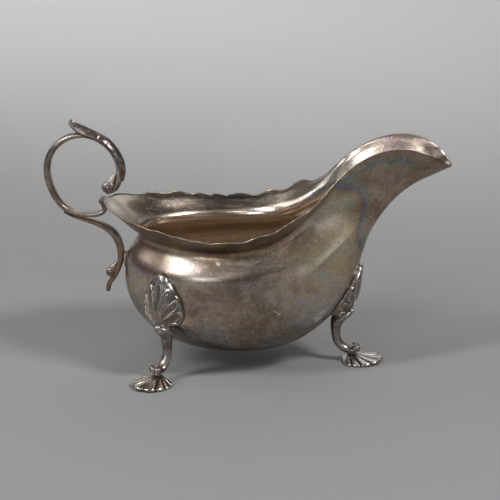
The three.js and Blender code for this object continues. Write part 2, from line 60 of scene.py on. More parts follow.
# ---- shape of the boat, in millimetres
# x along the boat, y across it, z up. Body, leg shafts, shells and feet have the CAD part's driving
# dimensions; the lip waves, handle straps, leaf, buds, curl, lug and ankle rolls have their own.
WALL = 0.9
KEEL = (-2.0, 5.8)
RINGS = [
    (-30.4, 22.5, [(0, 18.4), (180, 18.4)], [(0, 9.8), (180, 11.0)]),
    (-45.3, 35.8, [(0, 29.2), (180, 28.4)], [(0, 20.6), (180, 22.0)]),
    (-51.2, 45.4, [(0, 33.0), (180, 30.5)], [(0, 36.0), (180, 38.6)]),
    (-50.8, 49.5, [(0, 32.6), (60, 33.2), (90, 32.2), (110, 30.2), (130, 27.4), (150, 23.8), (180, 21.0)],
     [(0, 42.2), (60, 41.8), (90, 42.4), (110, 44.0), (130, 46.8), (150, 50.4), (180, 53.4)]),
    (-49.9, 57.0, [(0, 31.6), (60, 33.0), (90, 30.8), (110, 25.9), (120, 22.6), (133, 19.6),
                   (150, 18.2), (180, 17.0)],
     [(0, 46.8), (60, 46.5), (90, 47.8), (110, 51.0), (130, 56.8), (150, 63.0), (180, 67.7)]),
    (-45.6, 71.0, [(0, 30.6), (40, 31.8), (62, 30.7), (76, 29.0), (90, 24.8), (104, 17.8), (116, 13.4),
                   (132, 12.8), (150, 15.0), (180, 18.0)],
     [(0, 56.1), (40, 55.6), (62, 55.4), (78, 56.8), (90, 60.2), (104, 68.9), (118, 76.9), (132, 82.0),
      (148, 83.7), (164, 82.2), (180, 80.2)]),
]
RIM = (-59.6, 83.4,
       [(0, 29.0), (16, 29.6), (26, 31.8), (36, 34.6), (48, 36.0), (60, 35.8), (70, 35.3), (80, 33.9),
        (90, 30.9), (96, 28.0), (102, 22.6), (107, 18.4), (112, 15.9), (120, 15.2), (132, 17.1),
        (146, 22.0), (160, 27.2), (180, 31.5)],
       [(0, 68.9), (16, 67.0), (26, 65.9), (36, 64.7), (48, 63.7), (60, 61.9), (70, 60.9), (78, 61.2),
        (86, 63.1), (92, 65.6), (97, 68.4), (101, 71.3), (106, 76.0), (111, 82.7), (119, 90.6),
        (126, 94.3), (133, 95.9), (142, 95.6), (150, 93.9), (160, 90.7), (170, 87.9), (180, 86.6)])
WAVES = [(10.0, 34.0, 1.2, 0, 0), (34.0, 46.8, 0.9, 0, 0), (46.8, 57.2, 1.1, 0, 1), (57.2, 64.2, 0.9, 1, 1),
         (64.2, 70.6, 0.9, 1, 1), (70.6, 81.5, 1.2, 1, 0), (81.5, 91.6, 1.2, 0, 0),
         (91.6, 101.1, 2.2, 0, 1)]
UPPER = [(-60.1, 66.5), (-59.5, 64.1), (-62.4, 62.3), (-68.8, 62.1), (-75.5, 64.1), (-80.4, 70.1),
         (-83.0, 78.1), (-81.9, 87.0), (-76.5, 93.4), (-68.0, 96.0), (-59.9, 93.1), (-54.4, 86.1),
         (-53.1, 79.0), (-54.0, 75.1), (-55.9, 72.8), (-58.0, 71.9)]
UPPER_DEPTH = [(0, 1.9), (0.05, 2.2), (0.12, 2.2), (0.24, 2.6), (0.4, 3.0), (0.56, 2.7), (0.68, 2.0),
               (0.86, 2.0), (0.94, 2.9), (1, 1.9)]
UPPER_WIDTH = [(0, 3.4), (0.3, 4.4), (0.7, 4.4), (1, 3.4)]
LEAF_TIP = [(-73.2, 102.2), (-71.2, 100.4)]
LEAF_SEAT = [0.66, 0.74, 0.81, 0.87, 0.925]
LEAF_DEPTH = [(0, 1.5), (0.07, 2.0), (0.16, 2.7), (0.32, 2.3), (0.6, 1.9), (0.8, 1.7), (0.93, 1.1),
              (1, 0.4)]
LEAF_WIDTH = [(0, 2.2), (0.12, 4.2), (0.3, 5.8), (0.7, 6.0), (0.9, 4.4), (1, 2.6)]
LOWER = [(-76.6, 62.8), (-73.0, 61.0), (-69.0, 59.9), (-65.0, 58.8), (-61.2, 57.5), (-57.6, 55.5),
         (-55.0, 52.6), (-53.5, 48.9), (-53.0, 45.3), (-53.4, 41.6), (-54.6, 37.9), (-56.3, 34.6),
         (-58.3, 31.4), (-58.8, 28.9)]
LOWER_DEPTH = [(0, 0.5), (0.12, 1.1), (0.28, 2.1), (0.5, 3.3), (0.64, 3.0), (0.86, 2.3), (1, 2.0)]
LOWER_WIDTH = [(0, 2.8), (0.25, 3.8), (0.6, 4.2), (0.85, 3.4), (1, 2.4)]
LUG = dict(z=42.8, height=7.0, width=3.4)
WAVE_RISE = 1.35  # the lip's waves stand this many times as proud as in the CAD
EDGE_BEAD = 0.33  # radius of the rounded lip edge
LIP_THINNING = 0.35  # thickness that the sheet loses toward the lip
LEAF_LIFT = [0.9, 1.05, 1.1, 0.95, 0.3]  # how far the leaf stands off the strap at each seat
LEAFLETS = 8
CURL = dict(centre=(-60.3, 68.2), radius=1.4)
KNEE = 21.5  # height at which a leg is lifted by its whole stretch
ANKLE_TOP = 7.0  # height below which a leg isn't stretched
COLLAR_HEIGHT = 21.6  # on a leg of stretch 1
SHELL_ROOT = 23.1  # its height on a leg of stretch 1
SHELL_REACH = 21.5  # reach that counts as a shell's full height
KNOB_RADIUS = 1.35
COLLAR_RADIUS = 0.95
BOSS = dict(reach=2.4, half_depth=2.9, half_width=3.7, half_height=2.0)
ANKLE = dict(reach=8.5, height=6.2, radius=1.75, waist=1.25, half_width=2.95)
SHAFT = [(-1.2, 21.7, 6.2, 22.2, 3.1), (-1.5, 20.9, 6.9, 21.3, 3.6), (-2.0, 19.4, 5.3, 19.5, 3.2),
         (-2.3, 17.2, 3.2, 17.3, 2.6), (-2.15, 14.3, 2.05, 14.4, 2.3), (-1.75, 11.4, 2.05, 11.4, 2.2),
         (-1.0, 8.6, 3.0, 9.0, 2.2), (0.7, 6.1, 4.4, 7.6, 2.2), (3.4, 4.1, 5.9, 7.0, 2.3),
         (6.6, 4.0, 7.1, 7.2, 2.8), (8.3, 4.2, 8.4, 7.3, 3.0), (9.5, 4.9, 9.5, 6.7, 2.5)]
FRONT = dict(name="front", x=37.5, y=0.0, bearing=0.0, turn=7.0, stretch=1.0, splay=1.0, top=43.6, shift=0.0)
REAR = dict(name="rear_right", x=-30.6, y=-26.3, bearing=-122.0, turn=-6.0, stretch=1.08, splay=0.93,
            top=46.0, shift=-1.6)
SHELL_EDGE = [(0, 21.3), (8, 20.2), (14, 18.4), (20, 16.9), (35, 14.3), (43, 13.1), (59, 10.9),
              (78, 9.0), (95, 7.2)]
# angle from a shell's middle and lobe number there; lobes meet at the halves
LOBES = [(0, 0), (9.5, 0.5), (27, 1.5), (48, 2.5), (77, 3.5), (95, 4.1)]
# petals of a foot, and the angle they fill
FLUTES, FLUTED = 9, 216.0
FAN = [(0, 14.4), (20, 13.4), (40, 11.4), (60, 9.4), (80, 7.8), (107, 6.0), (130, 4.2), (150, 3.2),
       (180, 2.7)]


def spline(knots, values, start=None, end=None):
    """Cubic spline; an end slope of None leaves that end free."""
    k = np.asarray(knots, float)
    v = np.asarray(values, float)
    n = len(k)
    h = np.diff(k)
    A = np.zeros((n, n))
    r = np.zeros(n)
    A[0, 0] = A[-1, -1] = 1.0
    for i in range(1, n - 1):
        A[i, i - 1:i + 2] = h[i - 1], 2 * (h[i - 1] + h[i]), h[i]
        r[i] = 6 * ((v[i + 1] - v[i]) / h[i] - (v[i] - v[i - 1]) / h[i - 1])
    if start is not None:
        A[0, 0], A[0, 1] = 2 * h[0], h[0]
        r[0] = 6 * ((v[1] - v[0]) / h[0] - start)
    if end is not None:
        A[-1, -1], A[-1, -2] = 2 * h[-1], h[-1]
        r[-1] = 6 * (end - (v[-1] - v[-2]) / h[-1])
    m = np.linalg.solve(A, r)

    def at(t):
        t = np.asarray(t, float)
        i = np.clip(np.searchsorted(k, t, side="left") - 1, 0, n - 2)
        a = (k[i + 1] - t) / h[i]
        b = (t - k[i]) / h[i]
        return a * v[i] + b * v[i + 1] + ((a ** 3 - a) * m[i] + (b ** 3 - b) * m[i + 1]) * h[i] ** 2 / 6
    return at


def flat_table(rows):
    return spline([r[0] for r in rows], [r[1] for r in rows], 0, 0)


def soft_table(rows):
    return spline([r[0] for r in rows], [r[1] for r in rows])


def turns(count):
    """Angles of even steps round a circle."""
    return 2 * np.pi * np.arange(count) / count


def unit(v):
    return v / np.linalg.norm(v, axis=-1, keepdims=True)


def ease(x, a, b):
    t = np.clip((np.asarray(x, float) - a) / (b - a), 0, 1)
    return t * t * (3 - 2 * t)


# ---- body skin
def ring_curve(ring):
    spread, height = flat_table(ring[2]), flat_table(ring[3])
    middle, half = (ring[0] + ring[1]) / 2, (ring[1] - ring[0]) / 2

    def at(b):
        t = np.radians(b)
        return np.stack([middle - half * np.cos(t), -spread(b) * np.sin(t), height(b)], -1)
    return at


RING_CURVES = [ring_curve(r) for r in RINGS]
RIM_CURVE = ring_curve(RIM)


def lip_wave(b):
    out = np.zeros_like(b)
    for start, end, crest, first, last in WAVES:
        inside = (b >= start) & (b <= end)
        t = (b[inside] - start) / (end - start)
        share = first * (1 - t) + last * t
        rise = np.sin(np.pi * t) * share + (1 - np.cos(2 * np.pi * t)) / 2 * (1 - share)
        out[inside] = WAVE_RISE * crest * rise
    return out


def rib_splines(b):
    """Points, knots and second derivatives of the rib at each bearing of b (0 to 180)."""
    keel = np.tile([KEEL[0], 0.0, KEEL[1]], (len(b), 1))
    pts = [keel] + [c(b) for c in RING_CURVES]
    neck, edge = pts[-1], RIM_CURVE(b)
    out = unit(edge - neck)
    pts += [neck * 0.78 + edge * 0.22, neck * 0.4 + edge * 0.6, edge + out * lip_wave(b)[:, None]]
    p = np.stack(pts, 1)
    h = np.linalg.norm(np.diff(p, axis=1), axis=2)
    k = np.concatenate([np.zeros((len(b), 1)), np.cumsum(h, 1)], 1)
    n = p.shape[1]
    A = np.zeros((len(b), n, n))
    r = np.zeros((len(b), n, 3))
    slope = p[:, 1] - p[:, 0]
    slope[:, 2] = 0
    slope = unit(slope)
    A[:, 0, 0], A[:, 0, 1] = 2 * h[:, 0], h[:, 0]
    r[:, 0] = 6 * ((p[:, 1] - p[:, 0]) / h[:, 0, None] - slope)
    for i in range(1, n - 1):
        A[:, i, i - 1] = h[:, i - 1]
        A[:, i, i] = 2 * (h[:, i - 1] + h[:, i])
        A[:, i, i + 1] = h[:, i]
        r[:, i] = 6 * ((p[:, i + 1] - p[:, i]) / h[:, i, None] - (p[:, i] - p[:, i - 1]) / h[:, i - 1, None])
    A[:, n - 1, n - 1] = 1
    return p, k, h, np.linalg.solve(A, r)


def skin(b, level):
    """Body surface at bearings b (any sign) and levels 0 (keel) to 9 (lip edge)."""
    b, level = np.broadcast_arrays(np.asarray(b, float), np.asarray(level, float))
    shape = b.shape
    b, level = b.ravel() % 360, level.ravel()
    far = b > 180
    p, k, h, m = rib_splines(np.where(far, 360 - b, b))
    i = np.clip(np.floor(level).astype(int), 0, 8)
    row = np.arange(len(b))
    t = k[row, i] + (level - i) * h[row, i]
    a = ((k[row, i + 1] - t) / h[row, i])[:, None]
    c = ((t - k[row, i]) / h[row, i])[:, None]
    hh = h[row, i][:, None] ** 2
    q = a * p[row, i] + c * p[row, i + 1] + ((a ** 3 - a) * m[row, i] + (c ** 3 - c) * m[row, i + 1]) * hh / 6
    q[far, 1] *= -1
    return q.reshape(shape + (3,))


def skin_normal(b, level):
    level = np.asarray(level, float)
    across = skin(b + 0.05, level) - skin(b - 0.05, level)
    up = skin(b, np.minimum(9, level + 0.02)) - skin(b, np.maximum(0.02, level - 0.02))
    return unit(np.cross(across, up))


def leg_axes(leg):
    t = math.radians(leg["bearing"])
    return np.array([math.cos(t), math.sin(t), 0.0]), np.array([-math.sin(t), math.cos(t), 0.0])


def body_point(leg, aside, height):
    """Body point and outward normal off to one side of a leg's centre plane, at a height."""
    toe, across = leg_axes(leg)
    shape = np.shape(aside)
    aside, height = np.ravel(aside).astype(float), np.ravel(height).astype(float)
    b = np.full(len(aside), 180.0 if leg["bearing"] == 0 else 52.0)
    level = np.full(len(aside), 2.3)
    foot = np.array([leg["x"], leg["y"], 0.0])

    def miss(bb, ll):
        p = skin(bb, ll)
        return (p - foot) @ across - aside, p[:, 2] - height
    for _ in range(9):
        m0, n0 = miss(b, level)
        m1, n1 = miss(b + 0.05, level)
        m2, n2 = miss(b, level + 0.002)
        a, c = (m1 - m0) / 0.05, (n1 - n0) / 0.05
        e, d = (m2 - m0) / 0.002, (n2 - n0) / 0.002
        scale = a * d - e * c
        b = b - (d * m0 - e * n0) / scale
        level = np.clip(level - (a * n0 - c * m0) / scale, 0.6, 5.5)
    return skin(b, level).reshape(shape + (3,)), skin_normal(b, level).reshape(shape + (3,))


# ---- meshes

def grid_faces(rows, columns):
    """Quads of a grid whose columns close on themselves."""
    r, c = np.meshgrid(np.arange(rows - 1), np.arange(columns), indexing="ij")
    n = (c + 1) % columns
    near, far = r * columns, (r + 1) * columns
    return np.stack([near + c, near + n, far + n, far + c], -1).reshape(-1, 4)


def closed_loft(rings, extra=None, start=None, end=None):
    """Vertices and faces of a stack of closed rings with pointed caps; extra holds values per vertex."""
    rings = np.asarray(rings, float)
    rows, columns = rings.shape[:2]
    first = rings[0].mean(0) if start is None else np.asarray(start, float)
    last = rings[-1].mean(0) if end is None else np.asarray(end, float)
    v = np.concatenate([rings.reshape(-1, 3), [first], [last]])
    quads = grid_faces(rows, columns)
    i = np.arange(columns)
    n = (i + 1) % columns
    a = rows * columns
    low = np.stack([np.full(columns, a), n, i], -1)
    top = (rows - 1) * columns
    high = np.stack([np.full(columns, a + 1), top + i, top + n], -1)
    faces = [quads, low, high]
    six = 0.0
    for f in faces:
        p = v[f]
        for j in range(1, f.shape[1] - 1):
            six += np.einsum("ij,ij->i", p[:, 0], np.cross(p[:, j], p[:, j + 1])).sum()
    if six < 0:
        faces = [f[:, ::-1] for f in faces]
    values = {}
    for name, value in (extra or {}).items():
        value = np.asarray(value, float)
        values[name] = np.concatenate([value.ravel(), [value[0].mean()], [value[-1].mean()]])
    return v, faces, values


def add_mesh(name, parts, offset):
    """One Blender mesh from several closed lofts: [(vertices, faces, values)]."""
    vs, corners, counts, base, values = [], [], [], 0, {}
    for v, faces, value in parts:
        vs.append(v)
        for f in faces:
            corners.append((f + base).ravel())
            counts.append(np.full(len(f), f.shape[1]))
        for key in ("recess", "film", "residue", "inside", "polish_and_sheen"):
            values.setdefault(key, []).append(value.get(key, np.zeros(len(v))))
        base += len(v)
    v = (np.concatenate(vs) + [offset, 0, 0]) * MM
    loops, counts = np.concatenate(corners), np.concatenate(counts)
    mesh = bpy.data.meshes.new(name)
    mesh.vertices.add(len(v))
    mesh.vertices.foreach_set("co", v.ravel())
    mesh.loops.add(len(loops))
    mesh.loops.foreach_set("vertex_index", loops.astype(np.int32))
    mesh.polygons.add(len(counts))
    mesh.polygons.foreach_set("loop_start", np.concatenate([[0], np.cumsum(counts)[:-1]]).astype(np.int32))
    mesh.polygons.foreach_set("use_smooth", np.ones(len(counts), bool))
    mesh.update(calc_edges=True)
    mesh.validate()
    for key, arrays in values.items():
        layer = mesh.attributes.new(key, "FLOAT", "POINT")
        layer.data.foreach_set("value", np.clip(np.concatenate(arrays), 0, 1).astype(np.float32))
    piece = bpy.data.objects.new(name, mesh)
    scene.collection.objects.link(piece)
    return piece


def blob(p, centre, size):
    """Soft spot: 1 at the centre, fading over the given half sizes."""
    return np.exp(-(((p - np.asarray(centre, float)) / np.asarray(size, float)) ** 2).sum(-1))


def spots(p, rows):
    """Sum of soft spots, each a strength, a centre and half sizes."""
    return sum(strength * blob(p, centre, size) for strength, centre, size in rows)


def rib_levels(bottom, belly, lip):
    """Levels up a rib, with that many steps in its bottom, belly and lip."""
    spans = [np.linspace(0.06, 1, bottom)[:-1], np.linspace(1, 6, belly)[:-1], np.linspace(6, 9, lip)]
    return np.concatenate(spans)


def make_bowl():
    half = [np.linspace(0, 10, 8)[:-1]]
    for start, end, *_ in WAVES:
        half.append(np.linspace(start, end, 23)[:-1])
    half.append(np.linspace(101.1, 180, 62))
    half = np.concatenate(half)
    b = np.concatenate([half, (360 - half[1:-1])[::-1]])
    B, L = np.meshgrid(b, rib_levels(12, 56, 34))
    outer = skin(B.ravel(), L.ravel()).reshape(B.shape + (3,))
    Bi, Li = np.meshgrid(b, rib_levels(8, 40, 28))
    inner = skin(Bi.ravel(), Li.ravel()).reshape(Bi.shape + (3,))
    normal = skin_normal(Bi.ravel(), Li.ravel()).reshape(Bi.shape + (3,))
    sheet = WALL - LIP_THINNING * ease(Li, 8.2, 9.0)
    inner = inner - normal * sheet[..., None]
    # the sheet thins toward the lip and ends in a fine rounded edge
    edge_normal = normal[-1]
    edge_out = unit(skin(b, 9.0) - skin(b, 8.97))
    middle = outer[-1] - edge_normal * (WALL - LIP_THINNING) / 2
    bead = []
    for angle in np.linspace(100, -100, 11)[1:-1]:
        t = math.radians(angle)
        bead.append(middle + (edge_normal * math.sin(t) + edge_out * math.cos(t)) * EDGE_BEAD)
    bead = np.array(bead)
    p = np.concatenate([outer, bead, inner[::-1]])
    x, y, z = p[..., 0], p[..., 1], p[..., 2]
    inside = np.concatenate([np.zeros(B.shape), np.full(bead.shape[:2], 0.5), np.ones(Bi.shape)])
    lip = np.concatenate([L, np.full(bead.shape[:2], 9.0), Li[::-1]])
    # tarnish film: straw where thin, through purple and blue to green-grey where thick
    side = np.where(inside > 0.5, 0, 1)
    within = 1 - side
    # on the near flank: yellow on the spout, with a purple and blue fringe toward the tip and under the lip
    near = side * ease(y, 4, -4)
    across = (x - 39) * 0.91 - (z - 66) * 0.42
    along = (x - 39) * 0.42 + (z - 66) * 0.91
    patch = np.sqrt((across / 7.5) ** 2 + (along / 13.5) ** 2)
    beyond = ease(along / 13.5 + 0.55 * across / 7.5, 0.1, 0.7)
    spout = near * ease(x, 14, 30) * ease(z, 36, 52)
    fringe = np.interp(patch, [0, 0.80, 0.95, 1.05, 1.20, 1.50], [0.16, 0.22, 0.33, 0.45, 0.56, 0.84])
    film = 0.05 + spout * (0.14 + (fringe - 0.19) * beyond)
    under_lip = spout * np.exp(-((lip - 8.1) / 0.5) ** 2) * ease(x, 30, 44) * ease(x, 80, 64)
    film = film * (1 - under_lip) + 0.56 * under_lip
    flank = near * (1 - spout)
    film += flank * spots(p, [(0.12, (20, -26, 57), (9, 12, 5)), (0.46, (-16, -28, 57), (24, 10, 3.4))])
    film += near * spots(p, [(0.05, (30, -21, 46), (12, 14, 12)), (0.12, (6, -29, 30), (24, 14, 5))])
    film += side * spots(p, [(0.12, (20, 28, 36), (24, 12, 16)), (0.1, (52, 12, 68), (12, 10, 14))])
    # painted shade: the outside darkens toward the bottom, in place of the shadowed floor it reflects
    recess = ease(z, 30, 10) * 0.66 * side
    # painted shade under the lip on the outside, strongest away from the spout
    recess += side * 0.12 * np.exp(-((lip - 6.2) / 0.7) ** 2) * ease(x, 34, 14)
    recess += side * 0.08 * ease(lip, 6.6, 8.6)
    recess += near * spots(p, [(0.48, (8, -25, 51), (18, 12, 6)), (0.12, (26, -20, 58), (7, 10, 4)),
                               (0.22, (76, -8, 91), (10, 8, 6))])
    far = within * ease(y, -4, 4)
    # the far flange inside is darker
    recess += far * ease(lip, 6.25, 6.75) * ease(x, 30, 4) * ease(x, -52, -44)
    # darker towards the bottom inside
    recess += within * 0.08 * ease(z, 52, 30)
    # painted shade on the far lip edge, where it would catch the back light
    recess = np.where((np.abs(lip - 9) < 0.02) & (y > 4) & (x < 40), 0.9, recess)
    residue = 0.95 * blob(p, (-55, -3, 66), (6.5, 8, 5)) + 0.4 * blob(p, (-51, -16, 62), (5, 5, 3)) * side
    residue *= np.where(lip > 6.6, 1, 0)
    # painted sheen: lighter, smoother metal along the inner neck where its highlight streak runs, inside the
    # spout and the handle end, on the belly highlight and over the brighter near flank
    polish_and_sheen = within * (0.75 * np.exp(-((lip - 5.85) / 0.40) ** 2) + 0.1 * ease(lip, 5.0, 5.9))
    polish_and_sheen += within * 0.65 * ease(x, 16, 38) * ease(lip, 5.5, 7.0)
    polish_and_sheen += within * (0.5 * ease(x, -46, -53) + 0.35 * blob(p, (28, 20, 68), (12, 14, 12)))
    polish_and_sheen += near * spots(p, [(0.30, (-22, -27, 47), (12, 12, 8)), (0.42, (38, -14, 60), (12, 12, 22)),
                              (0.45, (-44, -18, 40), (10, 12, 16)), (0.20, (62, -10, 88), (16, 12, 10)),
                              (0.32, (33, -19, 50), (13, 14, 13))])
    values = dict(recess=recess, film=film, residue=residue, inside=inside, polish_and_sheen=polish_and_sheen)
    return [closed_loft(p, values, (KEEL[0], 0, KEEL[1]), (KEEL[0], 0, KEEL[1] + WALL))]


# ---- handle
def plane_curve(points):
    p = np.asarray(points, float)
    d = np.concatenate([[0], np.cumsum(np.linalg.norm(np.diff(p, axis=0), axis=1))])
    d /= d[-1]
    x, z = spline(d, p[:, 0]), spline(d, p[:, 1])

    def at(t):
        t = np.asarray(t, float)
        a, b = np.maximum(0, t - 1e-3), np.minimum(1, t + 1e-3)
        tangent = np.stack([x(b) - x(a), np.zeros_like(t), z(b) - z(a)], -1)
        return np.stack([x(t), np.zeros_like(t), z(t)], -1), unit(tangent)
    return at


def strap(path, depth_rows, width_rows, steps=220, around=56, groove=0.0, ends=(0.5, 0.5), wear=0.0):
    """Strap along a plane curve: a rounded section with a shallow groove down its outer face."""
    curve, depth, width = plane_curve(path), soft_table(depth_rows), soft_table(width_rows)
    cap = np.linspace(0, 1, 9)[:-1]
    t = np.linspace(0, 1, steps)
    stations = [(0.0, math.sqrt(max(0.0, 1 - (1 - c) ** 2)), -(1 - c) * ends[0]) for c in cap]
    stations += [(s, 1.0, 0.0) for s in t]
    stations += [(1.0, math.sqrt(max(0.0, 1 - c * c)), c * ends[1]) for c in np.linspace(0, 1, 9)[1:]]
    s = np.array([q[0] for q in stations])
    size = np.maximum(0.04, np.array([q[1] for q in stations]))
    slide = np.array([q[2] for q in stations])
    point, tangent = curve(s)
    d, w = depth(s) * size, width(s) * size
    point = point + tangent * (slide * depth(s) * 0.5)[:, None]
    outward = np.stack([-tangent[:, 2], np.zeros(len(s)), tangent[:, 0]], -1)
    angle = turns(around)
    sa, ca = np.sin(angle), np.cos(angle)
    up = np.sign(sa) * np.abs(sa) ** 0.8
    across = np.sign(ca) * np.abs(ca) ** 0.8
    dip = groove * np.exp(-(across / 0.34) ** 2) * (sa > 0)
    dip2 = 0.6 * groove * np.exp(-(across / 0.4) ** 2) * (sa < 0)
    lift = (up - dip + dip2)[None, :, None] * d[:, None, None] / 2
    rings = (point[:, None, :] + outward[:, None, :] * lift
             + np.array([0, 1.0, 0]) * (across[None, :, None] * w[:, None, None] / 2))
    recess = np.clip((dip + dip2) / max(groove, 0.01) * 0.55, 0, 1)[None, :] * np.ones((len(s), 1))
    film = 0.1 + 0.22 * np.sin(7 * s)[:, None] ** 2 * np.ones((1, around))
    return closed_loft(rings, dict(recess=recess + wear, film=film))


def make_leaf():
    scroll, scroll_depth = plane_curve(UPPER), soft_table(UPPER_DEPTH)
    point, tangent = scroll(np.array(LEAF_SEAT))
    reach = scroll_depth(np.array(LEAF_SEAT)) / 2 + np.array(LEAF_LIFT)
    seats = [(p[0] - along[2] * r, p[2] + along[0] * r) for p, along, r in zip(point, tangent, reach)]
    curve, depth, width = plane_curve(LEAF_TIP + seats), soft_table(LEAF_DEPTH), soft_table(LEAF_WIDTH)
    s = np.linspace(0, 1, 200)
    point, tangent = curve(s)
    outward = np.stack([-tangent[:, 2], 0 * s, tangent[:, 0]], -1)
    a = np.linspace(-1, 1, 29)
    # leaflets: the edge runs out and snaps back along the leaf
    phase = (s * LEAFLETS) % 1.0
    leaflet = 1 - 0.09 * (1 - phase) ** 1.5 * ease(s, 0.2, 0.35) * ease(s, 1.0, 0.9)
    size = np.maximum(0.05, np.sqrt(np.clip(1 - (1 - np.minimum(s, 0.03) / 0.03) ** 2, 0, 1)) *
                      np.sqrt(np.clip(1 - (1 - np.minimum(1 - s, 0.03) / 0.03) ** 2, 0, 1)))
    d, w = depth(s) * size, width(s) * leaflet * size
    rib = 0.22 * np.exp(-(a / 0.12) ** 2)
    wave = np.sin(2 * np.pi * (phase[:, None] + 0.9 * np.abs(a)[None, :]))
    veins = 0.05 * wave * ease(np.abs(a), 0.1, 0.4)[None, :] * ease(s, 0.15, 0.35)[:, None]
    top = (0.5 - 0.95 * a ** 2)[None, :] * d[:, None] + (rib[None, :] + veins) * size[:, None]
    low = -(0.5 + 0.35 * a ** 4)[None, :] * d[:, None]
    y = a[None, :] * w[:, None] / 2
    upper = point[:, None, :] + outward[:, None, :] * top[..., None] + np.array([0, 1.0, 0]) * y[..., None]
    under = point[:, None, :] + outward[:, None, :] * low[..., None] + np.array([0, 0.94, 0]) * y[..., None]
    rings = np.concatenate([upper, under[:, 1:-1][:, ::-1]], 1)
    dark = 0.30 + 0.3 * ease(veins, 0.0, -0.05) + 0.2 * (np.abs(a) > 0.8)[None, :]
    # painted shade on the leaf's underside, against the strap
    recess = np.concatenate([dark, np.full((len(s), 27), 0.8)], 1)
    return [closed_loft(rings, dict(recess=recess, film=np.full(rings.shape[:2], 0.12)))]


def coil_rings(profile, centre, steps, wobble=0.0):
    """Rings of a coil lying across the boat, from pairs of place along its axis and radius."""
    a = turns(steps)
    rings = []
    for y, radius in profile:
        r = radius * (1 + wobble * np.sin(a * 2 + 1.0))
        rings.append(np.stack([centre[0] + r * np.cos(a), np.full(steps, y), centre[1] + r * np.sin(a)], -1))
    return np.array(rings)


def bud(path, depth_rows, width_rows, coil, radius, width, dusty=0.0):
    """Bud at the end of a scroll: a web from the strap running into a round coil that lies across it."""
    web = strap(path, depth_rows, width_rows, steps=60, around=40, ends=(0.9, 0.9))
    v, _, values = web
    values["recess"] = np.full(len(v), 0.2)
    values["residue"] = dusty * ease(v[:, 2], coil[1] + 0.6, coil[1] + 2.2)
    half = [(-1.04, 0.02), (-1.04, 0.14), (-1.0, 0.24), (-0.93, 0.30), (-0.93, 0.38), (-0.98, 0.50),
            (-0.97, 0.64), (-0.90, 0.80), (-0.78, 0.92), (-0.6, 0.99), (-0.3, 1.02)]
    profile = half + [(0, 1.02)] + [(-y, r) for y, r in half[::-1]]
    rings = coil_rings([(y * width / 2, radius * r) for y, r in profile], coil, 64, 0.05)
    recess = [np.full(64, 0.75 if 0.27 < r < 0.45 else 0.25 + 0.25 * abs(y)) for y, r in profile]
    residue = 0.35 * dusty * ease(rings[..., 2], coil[1] - 0.5, coil[1] + 1.5)
    return [web, closed_loft(rings, dict(recess=recess, residue=residue))]


def knob(centre, radius, lean):
    """Round cast knob; its axis leans along the given direction."""
    n = 20
    axis = unit(np.asarray(lean, float))
    side = unit(np.cross(axis, [0.3, 1.0, 0.2]))
    third = np.cross(axis, side)
    rings = []
    for i in range(1, n):
        t = math.pi * i / n
        a = turns(32)
        ring = np.cos(a)[:, None] * side + np.sin(a)[:, None] * third
        rings.append(centre + radius * (-math.cos(t) * axis[None, :] + math.sin(t) * ring))
    return closed_loft(rings, dict(recess=np.full((n - 1, 32), 0.15)))


def make_curl():
    half = [(-2.05, 0.1), (-2.05, 0.45), (-1.98, 0.52), (-1.9, 0.56), (-1.98, 0.66), (-1.99, 0.8),
            (-1.9, 0.93), (-1.7, 1.0), (-1.0, 1.02)]
    profile = half + [(0, 1.0)] + [(-y, size) for y, size in half[::-1]]
    rings = coil_rings([(y, CURL["radius"] * size) for y, size in profile], CURL["centre"], 48)
    recess = [np.full(48, 0.7 if abs(size - 0.56) < 0.05 else 0.2) for _, size in profile]
    return [closed_loft(rings, dict(recess=recess))]


def make_lug():
    a = turns(48)
    far, near = [], []
    for scale, pull in [(0.5, 0), (0.9, 0), (1.0, 0.12)]:
        y = scale * LUG["width"] / 2 * np.cos(a)
        z = LUG["z"] + scale * LUG["height"] / 2 * np.sin(a)
        b, level = np.zeros(48), np.full(48, 3.5)
        for _ in range(10):
            p, q = skin(b, level), skin(b, level + 0.01)
            level = level - (p[:, 2] - z) / ((q[:, 2] - p[:, 2]) / 0.01)
            b = b + (p[:, 1] - y) / 0.55
        near.append(np.stack([skin(b, level)[:, 0] - 0.1 - pull, y, z], -1))
        far.append(np.stack([np.full(48, -51.75 + pull), y, z], -1))
    return [closed_loft(near + far[::-1], dict(recess=np.full((6, 48), 0.2), residue=np.full((6, 48), 0.45)))]


# ---- legs
def leg_point(leg, reach, aside, height):
    toe, across = leg_axes(leg)
    base = np.array([leg["x"], leg["y"], 0.0])
    return (base + toe * (np.asarray(reach) * leg["splay"])[..., None] + across * np.asarray(aside)[..., None]
            + np.array([0, 0, 1.0]) * np.asarray(height)[..., None])


